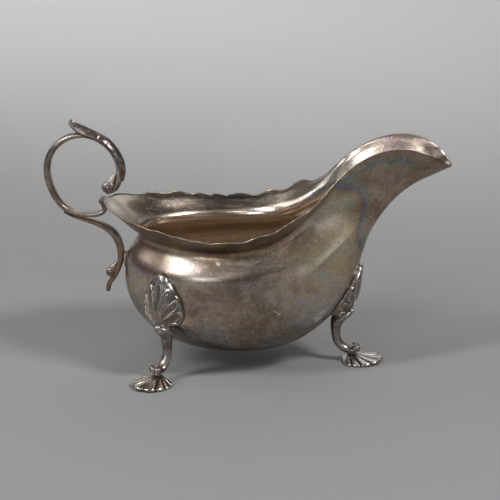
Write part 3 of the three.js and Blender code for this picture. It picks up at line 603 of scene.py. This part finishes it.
def make_leg(leg):
    station = np.array(SHAFT)
    k = np.arange(len(station))
    t = np.linspace(0, len(station) - 1, 150)
    inner_r, inner_h, outer_r, outer_h, half = [spline(k, station[:, i])(t) for i in range(5)]
    stretched = ease(t, 9.0, 7.0)

    def lift(h):
        return h + (leg["stretch"] - 1) * np.maximum(0, h - ANKLE_TOP) * stretched * KNEE / (KNEE - ANKLE_TOP)
    inner_h, outer_h = lift(inner_h), lift(outer_h)
    p, _ = body_point(leg, np.zeros(len(t)), np.maximum(inner_h, 15))
    toe, _ = leg_axes(leg)
    body_r = (p - np.array([leg["x"], leg["y"], 0])) @ toe
    inner_r = np.where(inner_h > 15, np.maximum(inner_r, body_r + 0.1), inner_r)
    size = np.sqrt(np.clip(1 - (1 - np.minimum(t, 0.5) / 0.5) ** 2, 0.0, 1))
    end = np.sqrt(np.clip(1 - (1 - np.minimum(t[-1] - t, 0.5) / 0.5) ** 2, 0.0, 1))
    size = np.maximum(0.05, (0.55 + 0.45 * size) * end)
    angle = turns(56)
    c = (1 + np.cos(angle)) / 2
    mid_r, mid_h = (inner_r + outer_r) / 2, (inner_h + outer_h) / 2
    reach = mid_r[:, None] + (outer_r - inner_r)[:, None] * (c - 0.5) * size[:, None]
    height = mid_h[:, None] + (outer_h - inner_h)[:, None] * (c - 0.5) * size[:, None]
    # the section is drawn in at its shoulders, which gives the shaft a soft keel in front and behind
    aside = half[:, None] * np.sin(angle) * size[:, None] * (1 - 0.10 * np.cos(angle) ** 2)
    rings = leg_point(leg, reach, aside, height)
    # painted shade down the inner side of the shaft, toward the body and underneath, and round the ankle
    # where its roll sits
    recess = 0.15 + 0.45 * (c < 0.25)[None, :] + 0.35 * np.exp(-((t - 8.3) / 0.5) ** 2)[:, None]
    parts = [closed_loft(rings, dict(recess=recess * np.ones((1, 56)), film=np.full(rings.shape[:2], 0.12)))]
    top_h = COLLAR_HEIGHT + (leg["stretch"] - 1) * (COLLAR_HEIGHT - ANKLE_TOP) * KNEE / (KNEE - ANKLE_TOP)
    # knee knob, with a collar running back from it to the body on either side
    parts.append(knob(leg_point(leg, 6.2, 0.0, top_h + 0.6), KNOB_RADIUS, (0.2, 0.1, 1)))
    for sign in (-1, 1):
        a = np.linspace(0, 1, 40)
        reach = 6.0 - 6.4 * a ** 1.3
        aside = sign * 3.5 * np.sin(np.pi * 0.5 * a) ** 0.8
        h = top_h + 0.8 - 3.6 * a
        centre = leg_point(leg, reach, aside, h)
        along = unit(np.gradient(centre, axis=0))
        side = unit(np.cross(along, [0, 0, 1.0]))
        up = np.cross(side, along)
        w = turns(20)
        thick = COLLAR_RADIUS * np.sqrt(np.clip(1 - (2 * a - 1) ** 6, 0.004, 1))
        ring = centre[:, None, :] + thick[:, None, None] * (np.cos(w)[None, :, None] * side[:, None, :]
                                                           + np.sin(w)[None, :, None] * up[:, None, :])
        parts.append(closed_loft(ring, dict(recess=np.full(ring.shape[:2], 0.2))))
    # a boss behind the collar carries the root of the shell
    u = np.linspace(-0.99, 0.99, 17)
    w = turns(40)
    full = np.sqrt(1 - u ** 2)[:, None]
    reach = BOSS["reach"] + BOSS["half_depth"] * full * np.cos(w)
    rise = (top_h + 0.5 + BOSS["half_height"] * u)[:, None] + 0 * full * w
    ring = leg_point(leg, reach, BOSS["half_width"] * full * np.sin(w), rise)
    # painted shade on the boss, which sits behind the collar
    parts.append(closed_loft(ring, dict(recess=np.full(ring.shape[:2], 0.45))))
    # ankle roll: a short bar across the foot, pinched in the middle
    y = np.linspace(-1, 1, 33)
    w = turns(32)
    r = ANKLE["radius"] * np.sqrt(np.clip(1 - ((np.abs(y) - 0.44) / 0.58) ** 2, 0.003, 1))
    r = np.where(np.abs(y) < 0.3, np.maximum(r, ANKLE["waist"]), r)
    turn = math.radians(leg["turn"])
    bar = y * ANKLE["half_width"]
    reach = ANKLE["reach"] + r[:, None] * np.cos(w)[None, :] - (bar * math.sin(turn))[:, None]
    aside = bar[:, None] * np.ones((1, 32))
    height = ANKLE["height"] + r[:, None] * np.sin(w)[None, :]
    ring = leg_point(leg, reach, aside, height)
    parts.append(closed_loft(ring, dict(recess=np.full(ring.shape[:2], 0.1))))
    return parts


def lobe_number(angle):
    """Counts lobes outward from the middle one: whole numbers at lobe centres, halves where lobes meet."""
    return np.sign(angle) * np.interp(np.abs(angle), [q[0] for q in LOBES], [q[1] for q in LOBES])


def shell_reach(angle):
    arch = np.abs(np.cos(np.pi * lobe_number(angle)))
    return flat_table(SHELL_EDGE)(np.abs(angle)) * (0.965 + 0.035 * arch ** 0.7)


def make_shell(leg):
    root = (leg["stretch"] - 1) * KNEE + SHELL_ROOT
    tall = leg["top"] - root
    angles = np.linspace(-95, 95, 400)
    shares = np.concatenate([np.linspace(0.03, 0.9, 96)[:-1], np.linspace(0.9, 1.0, 22)])
    A, S = np.meshgrid(angles, shares)

    def place(A, S):
        reach = shell_reach(A) * S
        up = np.maximum(0, reach * np.cos(np.radians(A))) / SHELL_REACH
        sideways = reach * np.sin(np.radians(A))
        aside = sideways + leg["shift"] * np.minimum(1, up * 3 + np.abs(sideways) / 8)
        p, n = body_point(leg, aside, root + up * tall)
        return up, sideways, p, n
    up, sideways, p, n = place(A, S)
    flat = n.copy()
    flat[..., 2] = 0
    flat = unit(flat)
    toe, _ = leg_axes(leg)
    bulge = 5.8 * (1 - up) ** 1.1 * np.maximum(0, 1 - (sideways / 9) ** 2)
    # each lobe is a hollow petal inside a raised arch, with a fainter arch inside it and a crease
    # between neighbours; a plain border with a raised rim lies beyond the tips
    phase = (lobe_number(A) + 0.5) % 1.0 - 0.5
    span = np.sqrt((phase / 0.43) ** 2 + (np.maximum(0, S - 0.60) / 0.30) ** 2)
    inward = (1 - span) * 2.5
    grow = ease(S, 0.06, 0.45)
    arch = np.exp(-(inward / 0.34) ** 2)
    inner_arch = np.exp(-((inward - 0.95) / 0.24) ** 2) * ease(S, 0.35, 0.6)
    hollow = ease(inward, 0.15, 0.75)
    crease = ease(inward, -0.2, -0.62) * ease(S, 0.93, 0.86)
    relief = (0.40 * arch + 0.13 * inner_arch - 0.36 * hollow - 0.30 * crease) * grow
    relief += 0.24 * np.exp(-((S - 0.95) / 0.032) ** 2) * ease(S, 0.5, 0.8)
    fall = np.sqrt(np.clip(1 - ((S - 0.95) / 0.05).clip(0, 1) ** 2, 0, 1))
    crest = 1.4 * (0.15 + 0.85 * fall)
    q = p + n * 0.08 + flat * (crest + relief)[..., None] + toe * ((bulge * (1 - S ** 8))[..., None])
    bottom = np.array([1.0, 0.7, 0.35])
    A2, S2 = np.meshgrid(angles, bottom)
    _, _, p2, n2 = place(A2, S2)
    rings = np.concatenate([q, p2 + n2 * 0.05])
    dark = 0.22 + (0.34 * hollow + 0.45 * crease - 0.2 * inner_arch - 0.2 * arch) * grow
    # painted shade at the shell's root by the knee and over its back against the body
    dark += 0.4 * ease(S, 0.25, 0.05)
    recess = np.concatenate([np.clip(dark, 0, 1), np.full(A2.shape, 0.9)])
    film = np.concatenate([0.08 + 0.25 * hollow * grow, np.full(A2.shape, 0.1)])
    polish_and_sheen = np.concatenate([0.25 * arch * grow, np.zeros(A2.shape)])
    return [closed_loft(rings, dict(recess=recess, film=film, polish_and_sheen=polish_and_sheen))]


def toe_lift(angle, share):
    """How far the front of a foot curls up, at an angle and a share of the way out."""
    return np.maximum(0, share - 0.55) ** 2 * 5.4 * np.maximum(0, np.cos(np.radians(angle))) ** 3


def make_foot(leg):
    angles = np.linspace(-180, 180, 361)[:-1]
    fan = soft_table(FAN)
    off = np.abs(angles)
    petal = np.abs(np.cos(np.pi * FLUTES * off / FLUTED))
    front = ease(off, 118, 104)
    edge = fan(off) * (front * (0.94 + 0.06 * petal ** 0.6) + (1 - front) * 0.97)
    shares = np.concatenate([np.linspace(0.06, 0.9, 40)[:-1], np.linspace(0.9, 1.0, 14)])
    A, S = np.meshgrid(angles, shares)
    E = np.tile(edge, (len(shares), 1))
    curl = toe_lift(A, S)
    phase = (FLUTES * np.abs(A) / FLUTED + 0.5) % 1.0 - 0.5
    convex = np.sqrt(np.clip(1 - (phase / 0.5) ** 2, 0, 1))
    groove = np.exp(-((0.5 - np.abs(phase)) / 0.085) ** 2)
    frontal = ease(np.abs(A), 122, 100)
    relief = (0.34 * convex - 0.45 * groove) * ease(S, 0.12, 0.42) * frontal
    slope = np.clip((S - 0.22) / 0.78, 0, 1)
    top = 3.6 - 2.75 * slope ** 0.8 + curl * 0.8 + relief * (0.8 + 0.2 * S)
    fall = np.sqrt(np.clip(1 - ((S - 0.94) / 0.06).clip(0, 1) ** 2, 0, 1))
    low = curl * 0.8
    height = low + 0.2 + (top - low - 0.2) * (0.2 + 0.8 * fall)
    top_rings = (A, S, height)
    A2, S2 = np.meshgrid(angles, np.array([1.0, 0.96, 0.72, 0.3]))
    h2 = np.where(S2 > 0.8, toe_lift(A2, S2) * 0.8, 0)
    turn = math.radians(leg["turn"])
    out = []
    for a, s, h in (top_rings, (A2, S2, h2)):
        e = np.tile(edge, (a.shape[0], 1)) * s
        x, y = e * np.cos(np.radians(a)), e * np.sin(np.radians(a))
        out.append(leg_point(leg, 5.6 + x * math.cos(turn) - y * math.sin(turn),
                             x * math.sin(turn) + y * math.cos(turn), h))
    rings = np.concatenate(out)
    creased = np.exp(-((0.5 - np.abs(phase)) / 0.09) ** 2) * frontal * ease(S, 0.1, 0.35)
    # tarnish in the creases; painted shade round the middle, where the shaft stands, and over the sole
    dark = 0.05 + 0.9 * creased + 0.35 * ease(S, 0.35, 0.12)
    recess = np.concatenate([dark, np.full(A2.shape, 0.85)])
    polish_and_sheen = np.concatenate([0.9 * convex * (1 - creased) * ease(S, 0.2, 0.5), np.zeros(A2.shape)])
    return [closed_loft(rings, dict(recess=recess, film=np.full(rings.shape[:2], 0.06), polish_and_sheen=polish_and_sheen))]


def mirrored(parts):
    """The same parts on the other side of the boat."""
    out = []
    for v, faces, values in parts:
        w = v.copy()
        w[:, 1] *= -1
        out.append((w, [f[:, ::-1] for f in faces], values))
    return out


# ---- build every piece
UPPER_BUD = [(-54.6, 79.6), (-55.6, 78.3), (-56.4, 77.0), (-57.1, 75.6), (-57.6, 74.2)]
UPPER_BUD_DEPTH = [(0, 1.2), (0.3, 2.6), (0.6, 3.3), (0.85, 3.0), (1, 1.6)]
UPPER_BUD_WIDTH = [(0, 2.6), (0.4, 3.8), (0.75, 3.9), (1, 3.0)]
LOWER_BUD = [(-54.8, 41.2), (-55.6, 40.3), (-56.3, 39.3), (-56.9, 38.2), (-57.2, 37.2)]
LOWER_BUD_DEPTH = [(0, 1.0), (0.35, 2.2), (0.6, 2.8), (0.82, 2.8), (1, 1.6)]
LOWER_BUD_WIDTH = [(0, 2.4), (0.5, 3.4), (0.8, 3.4), (1, 2.8)]

shapes = {"bowl": make_bowl()}
shapes["handle_upper_scroll"] = [strap(UPPER, UPPER_DEPTH, UPPER_WIDTH, 300, 60, 0.14, (0.4, 0.8), 0.12)]
# pale polish left in the crook of the finger ring
scroll_points, _, scroll_values = shapes["handle_upper_scroll"][0]
scroll_values["residue"] = 0.75 * blob(scroll_points, (-68.0, 0, 63.6), (6.5, 3, 1.0))
shapes["thumb_leaf"] = make_leaf()
shapes["upper_volute"] = bud(UPPER_BUD, UPPER_BUD_DEPTH, UPPER_BUD_WIDTH, (-57.6, 74.15), 2.6, 5.2, 0.9)
shapes["rim_curl"] = make_curl()
shapes["handle_lower_scroll"] = [strap(LOWER, LOWER_DEPTH, LOWER_WIDTH, 240, 60, 0.14, (0.4, 0.8), 0.12)]
shapes["lower_volute"] = bud(LOWER_BUD, LOWER_BUD_DEPTH, LOWER_BUD_WIDTH, (-57.3, 37.1), 2.1, 4.6, 0.5)
shapes["handle_lug"] = make_lug()
for leg in (FRONT, REAR):
    built = {"knee_shell": make_shell(leg), "leg": make_leg(leg), "foot": make_foot(leg)}
    for part, parts in built.items():
        shapes[f"{leg['name']}_{part}"] = parts
        if leg is REAR:
            shapes[f"rear_left_{part}"] = mirrored(parts)

# the CAD is slid along x so the boat is centred; its bowl says by how much
own = np.concatenate([v for v, _, _ in shapes["bowl"]])
box_low, box_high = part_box("bowl")
OFFSET = ((box_low.x + box_high.x) / MM - (own[:, 0].min() + own[:, 0].max())) / 2


# ---- materials
def new_material(name):
    mat = bpy.data.materials.new(name)
    mat.use_nodes = True
    tree = mat.node_tree
    tree.nodes.clear()
    return mat, tree


def show(tree, shader):
    out = tree.nodes.new("ShaderNodeOutputMaterial")
    tree.links.new(shader.outputs[0], out.inputs["Surface"])


class Nodes:
    """Small helper for wiring a material."""

    def __init__(self, tree):
        self.tree = tree

    def put(self, socket, value):
        if isinstance(value, bpy.types.NodeSocket):
            self.tree.links.new(value, socket)
        else:
            socket.default_value = value

    def math(self, operation, a, b, clamp):
        n = self.tree.nodes.new("ShaderNodeMath")
        n.operation, n.use_clamp = operation, clamp
        self.put(n.inputs[0], a)
        self.put(n.inputs[1], b)
        return n.outputs[0]

    def times(self, a, b, clamp=False):
        return self.math("MULTIPLY", a, b, clamp)

    def plus(self, a, b, clamp=False):
        return self.math("ADD", a, b, clamp)

    def less(self, a, b, clamp=False):
        return self.math("SUBTRACT", a, b, clamp)

    def rise(self, value, start, end, smooth=False):
        """Black up to the start, white from the end."""
        return self.ramp(value, [(start, (0, 0, 0)), (end, (1, 1, 1))], smooth)

    def ramp(self, value, stops, smooth=False):
        n = self.tree.nodes.new("ShaderNodeValToRGB")
        n.color_ramp.interpolation = "EASE" if smooth else "LINEAR"
        while len(n.color_ramp.elements) < len(stops):
            n.color_ramp.elements.new(0.5)
        for e, (at, colour) in zip(n.color_ramp.elements, stops):
            e.position = at
            e.color = (*colour, 1) if len(colour) == 3 else colour
        self.put(n.inputs[0], value)
        return n.outputs[0]

    def mix(self, factor, a, b, blend="MIX"):
        n = self.tree.nodes.new("ShaderNodeMix")
        n.data_type, n.blend_type = "RGBA", blend
        self.put(n.inputs[0], factor)
        self.put(n.inputs[6], a if isinstance(a, bpy.types.NodeSocket) else (*a, 1))
        self.put(n.inputs[7], b if isinstance(b, bpy.types.NodeSocket) else (*b, 1))
        return n.outputs[2]

    def noise(self, vector, scale, detail=4.0, rough=0.55, distortion=0.0):
        n = self.tree.nodes.new("ShaderNodeTexNoise")
        self.put(n.inputs["Vector"], vector)
        settings = {"Scale": scale, "Detail": detail, "Roughness": rough, "Distortion": distortion}
        for socket, value in settings.items():
            n.inputs[socket].default_value = value
        return n.outputs["Fac"]

    def attribute(self, name):
        n = self.tree.nodes.new("ShaderNodeAttribute")
        n.attribute_name = name
        return n.outputs["Fac"]

    def stretch(self, vector, scale, turn=(0, 0, 0)):
        n = self.tree.nodes.new("ShaderNodeMapping")
        self.put(n.inputs["Vector"], vector)
        n.inputs["Scale"].default_value = scale
        n.inputs["Rotation"].default_value = turn
        return n.outputs[0]


def streak(nodes, at, centre, turn, half):
    """A short thin mark: 1 inside an ellipsoid tilted by turn about y, fading to 0 at its edge."""
    place = nodes.tree.nodes.new("ShaderNodeMapping")
    place.vector_type = "TEXTURE"
    nodes.put(place.inputs["Vector"], at)
    place.inputs["Location"].default_value = ((centre[0] + OFFSET) * MM, centre[1] * MM, centre[2] * MM)
    place.inputs["Rotation"].default_value = (0, turn, 0)
    place.inputs["Scale"].default_value = [h * MM for h in half]
    size = nodes.tree.nodes.new("ShaderNodeVectorMath")
    size.operation = "LENGTH"
    nodes.put(size.inputs[0], place.outputs[0])
    return nodes.ramp(size.outputs["Value"], [(0.55, (1, 1, 1)), (1.0, (0, 0, 0))])


def silver(name, light, brown, film_strength, tarnish_and_shade_strength, roughness=0.33, copper=0.0, seed=0.0,
           marks=(), dusty=True):
    """Tarnished silver: blotches, a coloured film, darkening that is partly tarnish and partly painted shade,
    lighter polish partly painted as sheen, scratches and pale polish residue.
    """
    mat, tree = new_material(name)
    n = Nodes(tree)
    coords = tree.nodes.new("ShaderNodeTexCoord").outputs["Object"]
    place = tree.nodes.new("ShaderNodeMapping")
    place.inputs["Location"].default_value = (seed, seed * 0.7, -seed)
    tree.links.new(coords, place.inputs["Vector"])
    at = place.outputs[0]
    broad = n.noise(at, 42, 6, 0.62, 0.5)
    mottle = n.noise(at, 210, 7, 0.72)
    grain = n.noise(at, 1900, 3, 0.7)
    patches = n.plus(n.times(broad, 0.60), n.times(mottle, 0.40))
    base = n.mix(n.rise(patches, 0.40, 0.60, True), light, brown)
    # lighter, smoother metal: real polish where hands and cloths rub, and painted sheen where highlights fall
    polish_and_sheen = n.times(n.attribute("polish_and_sheen"), n.plus(0.62, n.times(mottle, 0.6)), True)
    base = n.mix(polish_and_sheen, base, (0.83, 0.80, 0.765))
    # film colour by thickness
    wander = n.times(n.less(n.noise(at, 78, 6, 0.62, 0.7), 0.5), 0.34)
    thick = n.plus(n.attribute("film"), wander, True)
    tint = n.ramp(thick, [(0.0, (1.0, 0.97, 0.95)), (0.12, (1.0, 0.94, 0.87)), (0.22, (0.98, 0.91, 0.68)),
                          (0.31, (0.95, 0.74, 0.47)), (0.38, (0.78, 0.54, 0.53)), (0.46, (0.56, 0.57, 0.70)),
                          (0.55, (0.66, 0.72, 0.75)), (0.68, (0.80, 0.80, 0.70)), (0.85, (0.90, 0.74, 0.62)),
                          (1.0, (0.82, 0.66, 0.58))])
    colour = n.mix(film_strength, base, n.mix(1.0, base, tint, "MULTIPLY"))
    # slow drift of colour over the whole skin
    drift = n.ramp(n.noise(n.stretch(at, (1, 1, 1.7)), 34, 4, 0.6, 0.4),
                   [(0.33, (0.72, 0.84, 0.96)), (0.42, (0.90, 0.94, 1.0)), (0.49, (1.0, 0.97, 0.95)),
                    (0.56, (1.0, 0.93, 0.79)), (0.65, (0.97, 0.79, 0.86))])
    colour = n.mix(film_strength * 0.9, colour, n.mix(1.0, colour, drift, "MULTIPLY"))
    if copper:
        rub = n.rise(n.noise(at, 150, 4, 0.6), 0.42, 0.62, True)
        colour = n.mix(n.times(rub, copper), colour, (0.52, 0.30, 0.16))
    inside = n.rise(n.attribute("inside"), 0.55, 0.95)
    inside = n.times(inside, n.less(0.8, polish_and_sheen, True), True)
    colour = n.mix(inside, colour, (0.76, 0.62, 0.49))
    # darkening: tarnish in hollows, and painted shade low on the body, under the lip and between parts
    dark_tarnish_and_shade = n.times(n.attribute("recess"), n.plus(0.40, n.times(mottle, 1.1)), True)
    dark_tarnish_and_shade = n.times(dark_tarnish_and_shade, tarnish_and_shade_strength, True)
    colour = n.mix(dark_tarnish_and_shade, colour, (0.075, 0.060, 0.050))
    # powdery grain over everything
    colour = n.mix(1.0, colour, n.ramp(grain, [(0.32, (0.60, 0.58, 0.56)), (0.50, (0.98, 0.98, 0.98)),
                                               (0.70, (1.25, 1.23, 1.20))]), "MULTIPLY")
    # dark specks where the tarnish has broken through
    specks = n.rise(n.noise(at, 820, 3, 0.6), 0.63, 0.72)
    colour = n.mix(n.times(specks, 0.45), colour, (0.10, 0.08, 0.06))
    # scratches: thin stretched noise in two directions
    long_a = n.noise(n.stretch(at, (30, 900, 900), (0.2, 0.5, 0.3)), 1.0, 2, 0.4)
    long_b = n.noise(n.stretch(at, (1100, 800, 24), (0.4, -0.35, 0.1)), 1.0, 2, 0.4)
    line_a = n.ramp(long_a, [(0.655, (0, 0, 0)), (0.675, (1, 1, 1)), (0.70, (0, 0, 0))])
    line_b = n.ramp(long_b, [(0.665, (0, 0, 0)), (0.68, (1, 1, 1)), (0.70, (0, 0, 0))])
    lines = n.plus(line_a, line_b, True)
    colour = n.mix(n.times(lines, 0.32), colour, (0.80, 0.78, 0.75))
    for mark in marks:
        colour = n.mix(n.times(streak(n, at, *mark), 0.75), colour, (0.85, 0.83, 0.80))
    # fine rubbing along the length of the inside
    rubbed = n.noise(n.stretch(at, (16, 560, 760), (0.05, 0.04, 0.08)), 1.0, 3, 0.55)
    rubbed = n.rise(rubbed, 0.54, 0.66)
    colour = n.mix(n.times(rubbed, n.times(inside, 0.30)), colour, (0.95, 0.84, 0.70))
    residue = n.times(n.attribute("residue"),
                     n.ramp(n.noise(at, 420, 5, 0.7), [(0.34, (0.1, 0.1, 0.1)), (0.58, (1, 1, 1))]), True)
    colour = n.mix(residue, colour, (0.78, 0.76, 0.73))
    rough = n.plus(roughness - 0.10, n.times(mottle, 0.18))
    rough = n.plus(rough, n.times(grain, 0.06))
    rough = n.plus(rough, n.times(dark_tarnish_and_shade, 0.05))
    rough = n.less(rough, n.times(polish_and_sheen, 0.12))
    rough = n.plus(rough, n.times(residue, 0.35), True)
    height = n.plus(n.times(broad, 1.0), n.times(mottle, 0.16))
    height = n.plus(height, n.times(grain, 0.05))
    height = n.less(height, n.times(lines, 0.03))
    bump = tree.nodes.new("ShaderNodeBump")
    bump.inputs["Strength"].default_value = 0.35
    bump.inputs["Distance"].default_value = 0.0006
    tree.links.new(height, bump.inputs["Height"])
    shader = tree.nodes.new("ShaderNodeBsdfPrincipled")
    tree.links.new(colour, shader.inputs["Base Color"])
    tree.links.new(rough, shader.inputs["Roughness"])
    if dusty:
        metal = n.less(1.0, n.times(residue, 0.75), True)
        tree.links.new(metal, shader.inputs["Metallic"])
    else:
        shader.inputs["Metallic"].default_value = 1.0
    tree.links.new(bump.outputs[0], shader.inputs["Normal"])
    show(tree, shader)
    return mat


BODY_MARKS = [((14.6, -28.6, 31.2), 0.72, (2.9, 2.5, 0.22)), ((15.6, -28.6, 30.6), -0.75, (1.7, 2.5, 0.2)),
              ((-9.2, -28.9, 51.4), 0.5, (1.3, 2.5, 0.8)), ((-26.0, -27.0, 47.0), 0.9, (2.4, 2.5, 0.12)),
              ((6.0, -26.0, 52.0), -0.4, (3.2, 3.0, 0.12))]
body_mat = silver("body_silver", (0.52, 0.48, 0.45), (0.29, 0.237, 0.198), 0.95, 0.9, 0.30, marks=BODY_MARKS)
handle_mat = silver("handle_silver", (0.60, 0.54, 0.52), (0.27, 0.22, 0.205), 0.4, 0.95, 0.25, seed=0.31)
lower_mat = silver("lower_scroll_silver", (0.50, 0.43, 0.40), (0.24, 0.185, 0.16), 0.4, 0.95, 0.27,
                   copper=0.45, seed=0.47)
leg_mat = silver("leg_silver", (0.54, 0.50, 0.475), (0.26, 0.215, 0.195), 0.4, 0.95, 0.28,
                 seed=0.73, dusty=False)
slots = {"body_silver": body_mat, "handle_silver": handle_mat, "leg_silver": leg_mat}
SLOT_BY_ENDING = {"bowl": "body_silver", "shell": "leg_silver", "leg": "leg_silver", "foot": "leg_silver"}
for name, parts in shapes.items():
    piece = add_mesh(f"{name}_shown", parts, OFFSET)
    slot = SLOT_BY_ENDING.get(name.split("_")[-1], "handle_silver")
    material = slots[slot]
    if name in ("handle_lower_scroll", "lower_volute"):
        material = lower_mat
    piece.data.materials.append(material)
    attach(piece, "root")
    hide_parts(name)

# ---- studio
centre = (cad_low + cad_high) / 2


def studio_floor():
    """Table that sweeps up into a backdrop."""
    profile = []
    for y in np.linspace(-1.6, 0.55, 30):
        profile.append((y, 0.0))
    for t in np.linspace(0, math.pi / 2, 24)[1:]:
        profile.append((0.55 + 0.55 * math.sin(t), 0.55 * (1 - math.cos(t))))
    for z in np.linspace(0.55, 1.8, 12)[1:]:
        profile.append((1.1, z))
    xs = np.linspace(-2.2, 2.2, 12)
    verts = [(x, y, z) for (y, z) in profile for x in xs]
    faces = []
    for r in range(len(profile) - 1):
        for c in range(len(xs) - 1):
            a = r * len(xs) + c
            faces.append((a, a + 1, a + len(xs) + 1, a + len(xs)))
    mesh = bpy.data.meshes.new("studio_floor")
    mesh.from_pydata(verts, [], faces)
    mesh.polygons.foreach_set("use_smooth", np.ones(len(faces), bool))
    floor = bpy.data.objects.new("studio_floor", mesh)
    scene.collection.objects.link(floor)
    mat, tree = new_material("studio_paper")
    shader = tree.nodes.new("ShaderNodeBsdfPrincipled")
    shader.inputs["Base Color"].default_value = (0.36, 0.36, 0.36, 1)
    shader.inputs["Roughness"].default_value = 0.9
    show(tree, shader)
    mesh.materials.append(mat)
    return floor


floor = studio_floor()

world = bpy.data.worlds.new("studio")
scene.world = world
world.use_nodes = True
world.node_tree.nodes["Background"].inputs["Color"].default_value = (0.068, 0.068, 0.070, 1)
world.node_tree.nodes["Background"].inputs["Strength"].default_value = 1.0


aim = (centre.x, centre.y, 0.05)


def softbox(name, azimuth, elevation, width, height, power, shape="RECTANGLE", distance=1.15, target=aim):
    """Area light seen from the target at an azimuth (0 is straight in front, positive to the right)."""
    a, e = math.radians(azimuth), math.radians(elevation)
    direction = np.array([math.sin(a) * math.cos(e), -math.cos(a) * math.cos(e), math.sin(e)])
    data = bpy.data.lights.new(name, "AREA")
    data.shape = shape
    data.size, data.size_y, data.energy = width, height, power
    light = bpy.data.objects.new(name, data)
    scene.collection.objects.link(light)
    place = np.array(target) + direction * distance
    light.location = place
    light.rotation_euler = Vector(-direction).to_track_quat("-Z", "Y").to_euler()
    return light


softbox("left_softbox", -56, 40, 0.13, 0.70, 4.4, "ELLIPSE")
softbox("right_softbox", 65, 46, 0.27, 0.27, 5.4, "DISK")
softbox("front_card", -27, 15, 0.26, 0.22, 1.3)
softbox("low_fill", -15, 29, 0.40, 0.62, 0.42, "ELLIPSE")
softbox("high_card", -6, 43, 0.30, 0.16, 0.45)
softbox("right_card", 38, 10, 0.60, 0.34, 0.42)
softbox("left_card", -99, 34, 0.50, 0.60, 1.7)
softbox("top_panel", -20, 72, 0.5, 0.3, 0.2, distance=1.2)
softbox("back_panel", 178, 44, 1.3, 0.9, 2.3)
# a wash aimed at the far paper
wash = softbox("backdrop_wash", -16, 62, 1.4, 0.2, 3.0, distance=0.9, target=(-0.36, 0.80, 0.06))
wash.data.spread = math.radians(74)

# ---- camera
PITCH, TURN, DISTANCE = math.radians(18.5), math.radians(5.0), 0.781
camera_data = bpy.data.cameras.new("camera")
camera_data.sensor_width = 36.0
camera_data.lens = 135.0
camera = bpy.data.objects.new("camera", camera_data)
scene.collection.objects.link(camera)
target = np.array([OFFSET * MM + 0.00125, 0.0, 0.0481])
back = np.array([math.sin(TURN) * math.cos(PITCH), -math.cos(TURN) * math.cos(PITCH), math.sin(PITCH)])
camera.location = target + back * DISTANCE
camera.rotation_euler = Vector(-back).to_track_quat("-Z", "Y").to_euler()
bpy.context.scene.camera = camera
scene.view_settings.view_transform = "Standard"
